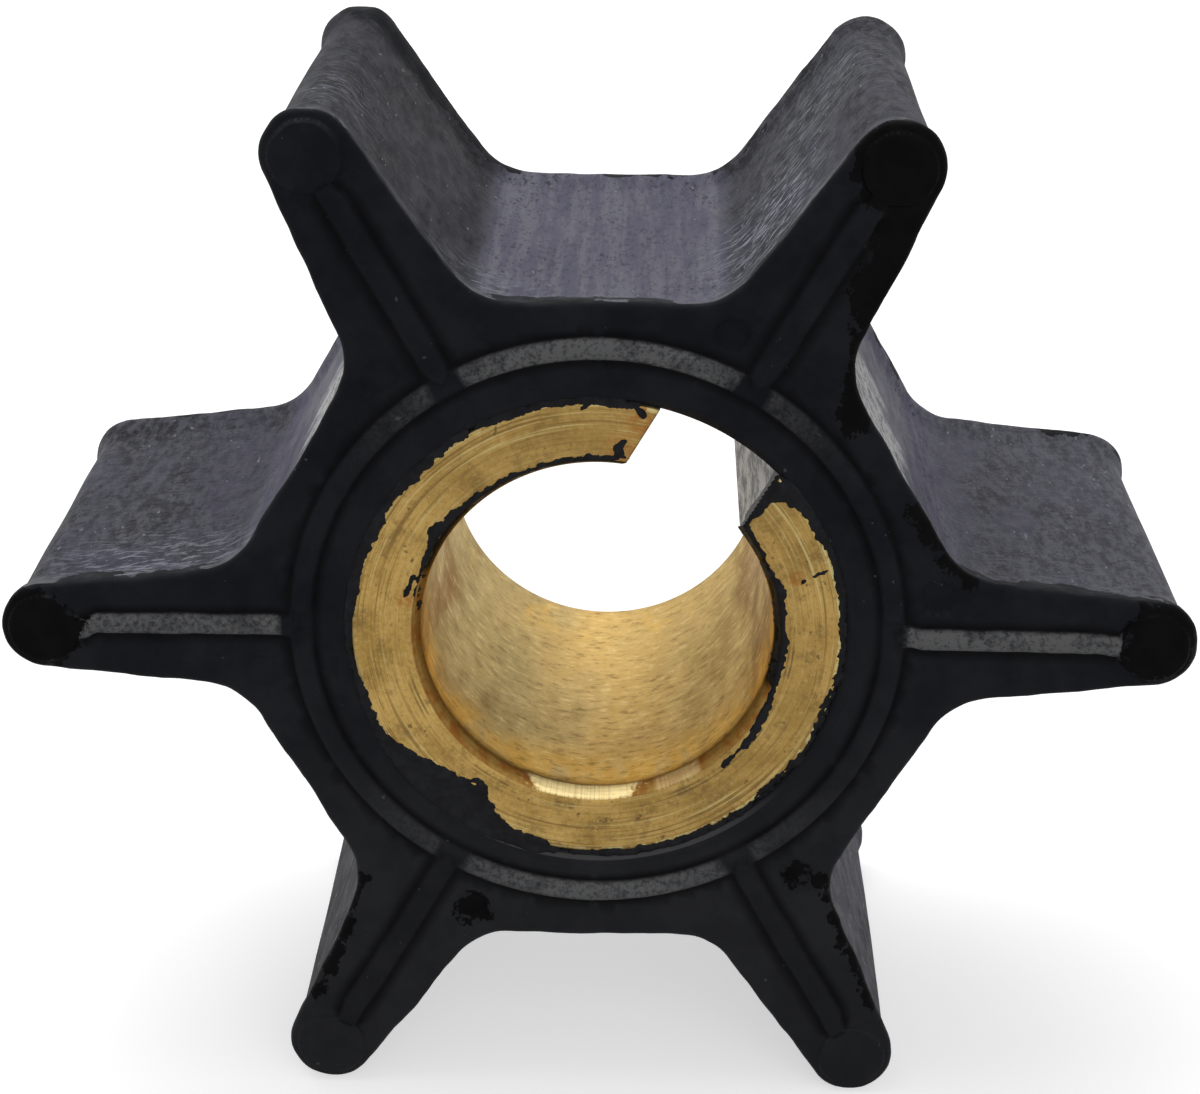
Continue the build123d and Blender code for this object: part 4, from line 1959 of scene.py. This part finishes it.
@dataclass
class RubberFlash:
    """Ragged rubber flash left on the front end of the bush.

    Each stroke is a row of places as (turn from +X in degrees, radius, half width).
    """

    bush: BrassBush
    land_y: float = -11.7
    strokes: tuple[tuple[tuple[float, float, float], ...], ...] = (
        # blot at the lower left, with a spur into the brass
        ((202, 11.6, 0.15), (210, 11.5, 0.35), (218, 11.4, 0.75), (226, 11.2, 1.10), (235, 11.1, 1.30)),
        ((235, 11.1, 1.30), (242, 11.4, 0.80), (250, 11.5, 0.35), (256, 11.5, 0.45), (260, 11.6, 0.10)),
        ((222, 10.75, 0.20), (227, 10.35, 0.26), (231, 10.0, 0.20), (234, 9.7, 0.16), (237, 9.75, 0.22)),
        ((237, 9.75, 0.22), (238, 10.2, 0.2)),
        ((215, 11.1, 0.3), (219, 10.75, 0.16), (220.5, 10.4, 0.10)),
        # along the bore's mouth, from the slot over the left side
        ((84, 8.8, 0.12), (100, 8.8, 0.16), (120, 8.75, 0.19), (137, 8.8, 0.22), (147, 8.95, 0.36)),
        ((147, 8.95, 0.36), (153, 8.7, 0.2), (164, 8.6, 0.15), (172, 8.5, 0.10), (178, 8.5, 0.05)),
        ((162, 8.95, 0.12), (166, 9.05, 0.14), (169, 9.15, 0.08)),
        # beside the slot, and down the right side of the mouth
        ((82.5, 8.9, 0.16), (84.5, 9.3, 0.24), (83, 9.7, 0.14)),
        ((79.5, 11.1, 0.16), (82, 11.4, 0.16), (92, 11.5, 0.12), (104, 11.5, 0.16), (118, 11.55, 0.10)),
        ((45, 8.3, 0.5), (43, 9.6, 0.55), (44, 10.6, 0.6), (40, 11.3, 0.5), (33, 11.5, 0.3)),
        ((33, 11.5, 0.3), (24, 11.5, 0.16)),
        ((42, 8.4, 0.5), (30, 8.55, 0.30), (15, 8.65, 0.26), (0, 8.65, 0.28), (-15, 8.7, 0.24)),
        ((-15, 8.7, 0.24), (-24, 8.8, 0.2), (-34, 9.0, 0.16), (-48, 9.1, 0.08)),
        # along the outer rim
        ((150, 11.5, 0.30), (156, 11.5, 0.35), (163, 11.6, 0.25), (170, 11.5, 0.30), (176, 11.6, 0.2)),
        ((176, 11.6, 0.2), (184, 11.7, 0.15)),
        ((122, 11.55, 0.15), (130, 11.5, 0.22), (142, 11.5, 0.2), (148, 11.55, 0.2)),
        ((92, 11.45, 0.10), (94, 11.2, 0.10)),
        ((16, 9.8, 0.03), (17.5, 10.4, 0.05), (18, 11.4, 0.09)),
        ((22, 11.55, 0.1), (10, 11.55, 0.14), (-8, 11.5, 0.10), (-30, 11.55, 0.12), (-52, 11.5, 0.14)),
        ((-52, 11.5, 0.14), (-70, 11.55, 0.12)),
        ((265, 11.55, 0.10), (278, 11.55, 0.14), (290, 11.55, 0.10)),
        ((186, 11.6, 0.12), (196, 11.5, 0.2), (203, 11.5, 0.2)),
    )
    inner_r: float = 8.26
    rim_r: float = 11.86
    ring_step: float = 0.07
    turn_steps: int = 900
    skirt: float = 0.07
    underside: float = 0.04
    slope: float = 0.55
    thickest: float = 0.12
    slot_clear: float = 0.03
    ragged: tuple[tuple[float, float, float, int], ...] = ((0.14, 0.9, 41.3, 4), (0.12, 0.28, 13.7, 3))
    ragged_reach: float = 0.6
    lumps: tuple[float, float, float] = (0.025, 0.8, 9.4)
    lumps_from: float = 0.1
    cells_past: float = 1.6
    weld: float = 0.0001

    def build(self, finish: FlashFinish) -> Object:
        """Make the flash as a thin sheet whose ragged rim dips into the bush.

        Args:
            finish: Finish that it wears.

        Returns:
            The finished piece.
        """
        radii = np.arange(self.inner_r, self.rim_r, self.ring_step)
        turns = np.linspace(0, 2 * math.pi, self.turn_steps, endpoint=False)
        grid_r, grid_turn = np.meshgrid(radii, turns, indexing="ij")
        flat = ring_points(grid_r, grid_turn).reshape(-1, 2)
        depth = self._depth(flat)
        places = sideways(*flat.T)
        amount, wavelength, seed = self.lumps
        height = np.clip(depth * self.slope, -self.skirt, self.thickest)
        height += amount * field_noise(places, wavelength, seed) * (depth > self.lumps_from)
        ground = self._ground(np.linalg.norm(flat, axis=1))
        places[:, 1] = ground - height
        faces = self._cells(depth.reshape(grid_r.shape))
        return self._solid(places, ground, faces, finish.build())

    def _depth(self, flat: np.ndarray) -> np.ndarray:
        """Find how far inside the flash each point lies, with a ragged rim.

        Args:
            flat: Places in the section plane, one row each.

        Returns:
            Distances in millimetres, negative outside.
        """
        depth = np.full(len(flat), -np.inf)
        for stroke in self.strokes:
            for (turn, radius, half), (next_turn, next_radius, next_half) in zip(stroke, stroke[1:]):
                ends = ring_points(np.array([radius, next_radius]), np.radians([turn, next_turn]))
                depth = np.maximum(depth, inside_stroke(flat, ends, (half, next_half)))
        near = depth > -self.ragged_reach
        places = sideways(*flat[near].T)
        for amount, wavelength, seed, octaves in self.ragged:
            depth[near] += amount * field_noise(places, wavelength, seed, octaves)
        return np.minimum(depth, self._slot_gap(flat))

    def _slot_gap(self, flat: np.ndarray) -> np.ndarray:
        """Distance from the slot's walls.

        Args:
            flat: Places in the section plane, one row each.

        Returns:
            Distances in millimetres, negative inside the slot.
        """
        along = flat @ ring_points(1.0, self.bush.key_turn)
        across = flat @ ring_points(1.0, self.bush.key_turn + math.pi / 2)
        gap = np.abs(across) - self.bush.key_w / 2 + self.slot_clear
        return np.where(along > 0, gap, np.inf)

    def _ground(self, radius: np.ndarray) -> np.ndarray:
        """Depth of the surface under the flash.

        Args:
            radius: Distances from the axis.

        Returns:
            Places along the axis, in millimetres.
        """
        face = self.bush.front_y
        stations = (self.bush.bore_r, self.bush.mouth_r, self.bush.outer_r, self.rim_r)
        return np.interp(radius, stations, (face + self.bush.mouth_run, face, face, self.land_y))

    def _cells(self, depth: np.ndarray) -> list[tuple[int, ...]]:
        """Choose the cells of the polar grid that the flash needs.

        Args:
            depth: How far inside the flash each grid point lies, by ring and by turn.

        Returns:
            Corner numbers of each cell.
        """
        rings, turns = depth.shape
        numbers = np.arange(rings * turns).reshape(depth.shape)
        after = np.roll(numbers, -1, 1)
        corners = np.stack([numbers[:-1], after[:-1], after[1:], numbers[1:]], -1).reshape(-1, 4)
        wanted = depth.ravel()[corners].max(1) > -self.skirt * self.cells_past
        return [tuple(cell) for cell in corners[wanted].tolist()]

    def _solid(self, places: np.ndarray, ground: np.ndarray, faces: list, material: Material) -> Object:
        """Close the sheet with a hidden underside and walls.

        Args:
            places: Grid points in millimetres.
            ground: Depth of the bush under each of them.
            faces: Cells of the sheet.
            material: Finish of the piece.

        Returns:
            The finished piece.
        """
        used = np.unique(np.array(faces))
        number = np.full(len(places), -1)
        number[used] = np.arange(len(used))
        top = places[used]
        under = top.copy()
        under[:, 1] = ground[used] + self.skirt + self.underside
        upper = [tuple(int(number[i]) for i in face) for face in faces]
        lower = [tuple(len(used) + i for i in reversed(face)) for face in upper]
        edges = dict.fromkeys(edge for face in upper for edge in zip(face, face[1:] + face[:1]))
        walls = [(b, a, len(used) + a, len(used) + b) for a, b in edges if (b, a) not in edges]
        piece = mesh_object("rubber_flash", np.concatenate([top, under]), upper + lower + walls, material)
        close_up(piece.data, self.weld)
        return piece


# --- the studio -------------------------------------------------------


@dataclass(frozen=True)
class Lamp:
    """A soft rectangular light that points at the part, placed in metres."""

    name: str
    place: tuple[float, float, float]
    size: tuple[float, float]
    watts: float

    def build(self) -> None:
        """Add the light to the scene."""
        light = bpy.data.lights.new(self.name, "AREA")
        light.shape = "RECTANGLE"
        light.size, light.size_y = self.size
        light.energy = self.watts
        lamp = link_object(self.name, light)
        lamp.location = self.place
        lamp.rotation_euler = (-Vector(self.place)).to_track_quat("-Z", "Y").to_euler()


@dataclass
class Studio:
    """Floor, light and camera, with its places in metres."""

    floor_half: float = 3.0
    world_strength: float = 0.42
    lamps: tuple[Lamp, ...] = (
        Lamp("key", (-0.10, 0.16, 0.55), (0.6, 0.45), 2.6),
        Lamp("front_fill", (0.15, -0.60, 0.35), (0.5, 0.5), 1.0),
    )
    camera_place: tuple[float, float, float] = (0.002545, -0.124839, 0.051028)
    camera_back: tuple[float, float, float] = (0.023031, -0.922751, 0.384707)
    camera_roll: float = 0.0086
    lens: float = 79.862
    sensor: float = 36.0
    shift: tuple[float, float] = (0.0073, 0.01024)
    clip: tuple[float, float] = (0.005, 20.0)

    def build(self) -> None:
        """Make the whole studio."""
        self._floor()
        self._world()
        for lamp in self.lamps:
            lamp.build()
        self._camera()
        bpy.context.scene.view_settings.view_transform = "Standard"

    def _floor(self) -> None:
        """Lay a pale floor under the lower vane tips."""
        level = CAD_BOX[0][2]
        half = self.floor_half
        corners = [(-half, -half, level), (half, -half, level), (half, half, level), (-half, half, level)]
        floor = mesh_object("floor", np.array(corners) / MM, [(0, 1, 2, 3)], FloorFinish().build())

    def _world(self) -> None:
        """Set white surroundings: full for what is seen and mirrored, softer as light."""
        world = bpy.data.worlds.new("studio")
        world.use_nodes = True
        world.node_tree.nodes.clear()
        graph = Graph(world.node_tree)
        strength = graph.ease(graph.seen_directly(), 0.0, 1.0, self.world_strength, 1.0)
        shade = graph.add("ShaderNodeBackground", {"Color": WHITE, "Strength": strength}).outputs[0]
        graph.add("ShaderNodeOutputWorld", {"Surface": shade})
        bpy.context.scene.world = world

    def _camera(self) -> None:
        """Set the camera in front of the part and a little above its axis."""
        data = bpy.data.cameras.new("camera")
        data.lens = self.lens
        data.sensor_width = self.sensor
        data.shift_x, data.shift_y = self.shift
        data.clip_start, data.clip_end = self.clip
        aim = (-Vector(self.camera_back)).to_track_quat("-Z", "Y").to_matrix()
        turned = aim @ Matrix.Rotation(self.camera_roll, 3, "Z")
        camera = link_object("camera", data)
        camera.matrix_world = Matrix.Translation(self.camera_place) @ turned.to_4x4()
        bpy.context.scene.camera = camera


# --- the whole part ---------------------------------------------------


@dataclass
class Impeller:
    """The impeller: one moulding, one bush, and the flash between them."""

    moulding: RubberMoulding = field(default_factory=RubberMoulding)
    bush: BrassBush = field(default_factory=BrassBush)

    def build(self) -> None:
        """Make each piece, hand it to the frame and log it."""
        body = self.moulding.build(MouldedRubberFinish())
        self._place(body, "rubber", "rubber_body")
        bush = self.bush.build(TurnedBrassFinish(), SlotWallFinish())
        self._place(bush, "brass", "brass_bush")
        flash = RubberFlash(self.bush).build(FlashFinish())
        self._place(flash, "rubber")

    def _place(self, piece: Object, slot: str, *nodes: str) -> None:
        """Let a piece ride on the part, and log it.

        Args:
            piece: Finished piece.
            slot: Its material slot; not used.
            *nodes: CAD nodes that it stands in for.
        """
        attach(piece, "root")
        if nodes:
            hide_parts(*nodes)
        LOG.info("%s: %d faces", piece.name, len(piece.data.polygons))


def main() -> None:
    """Build the studio and the part."""
    logging.basicConfig(level=logging.INFO, format="%(name)s %(message)s")
    Studio().build()
    Impeller().build()


if __name__ == "__main__":
    main()
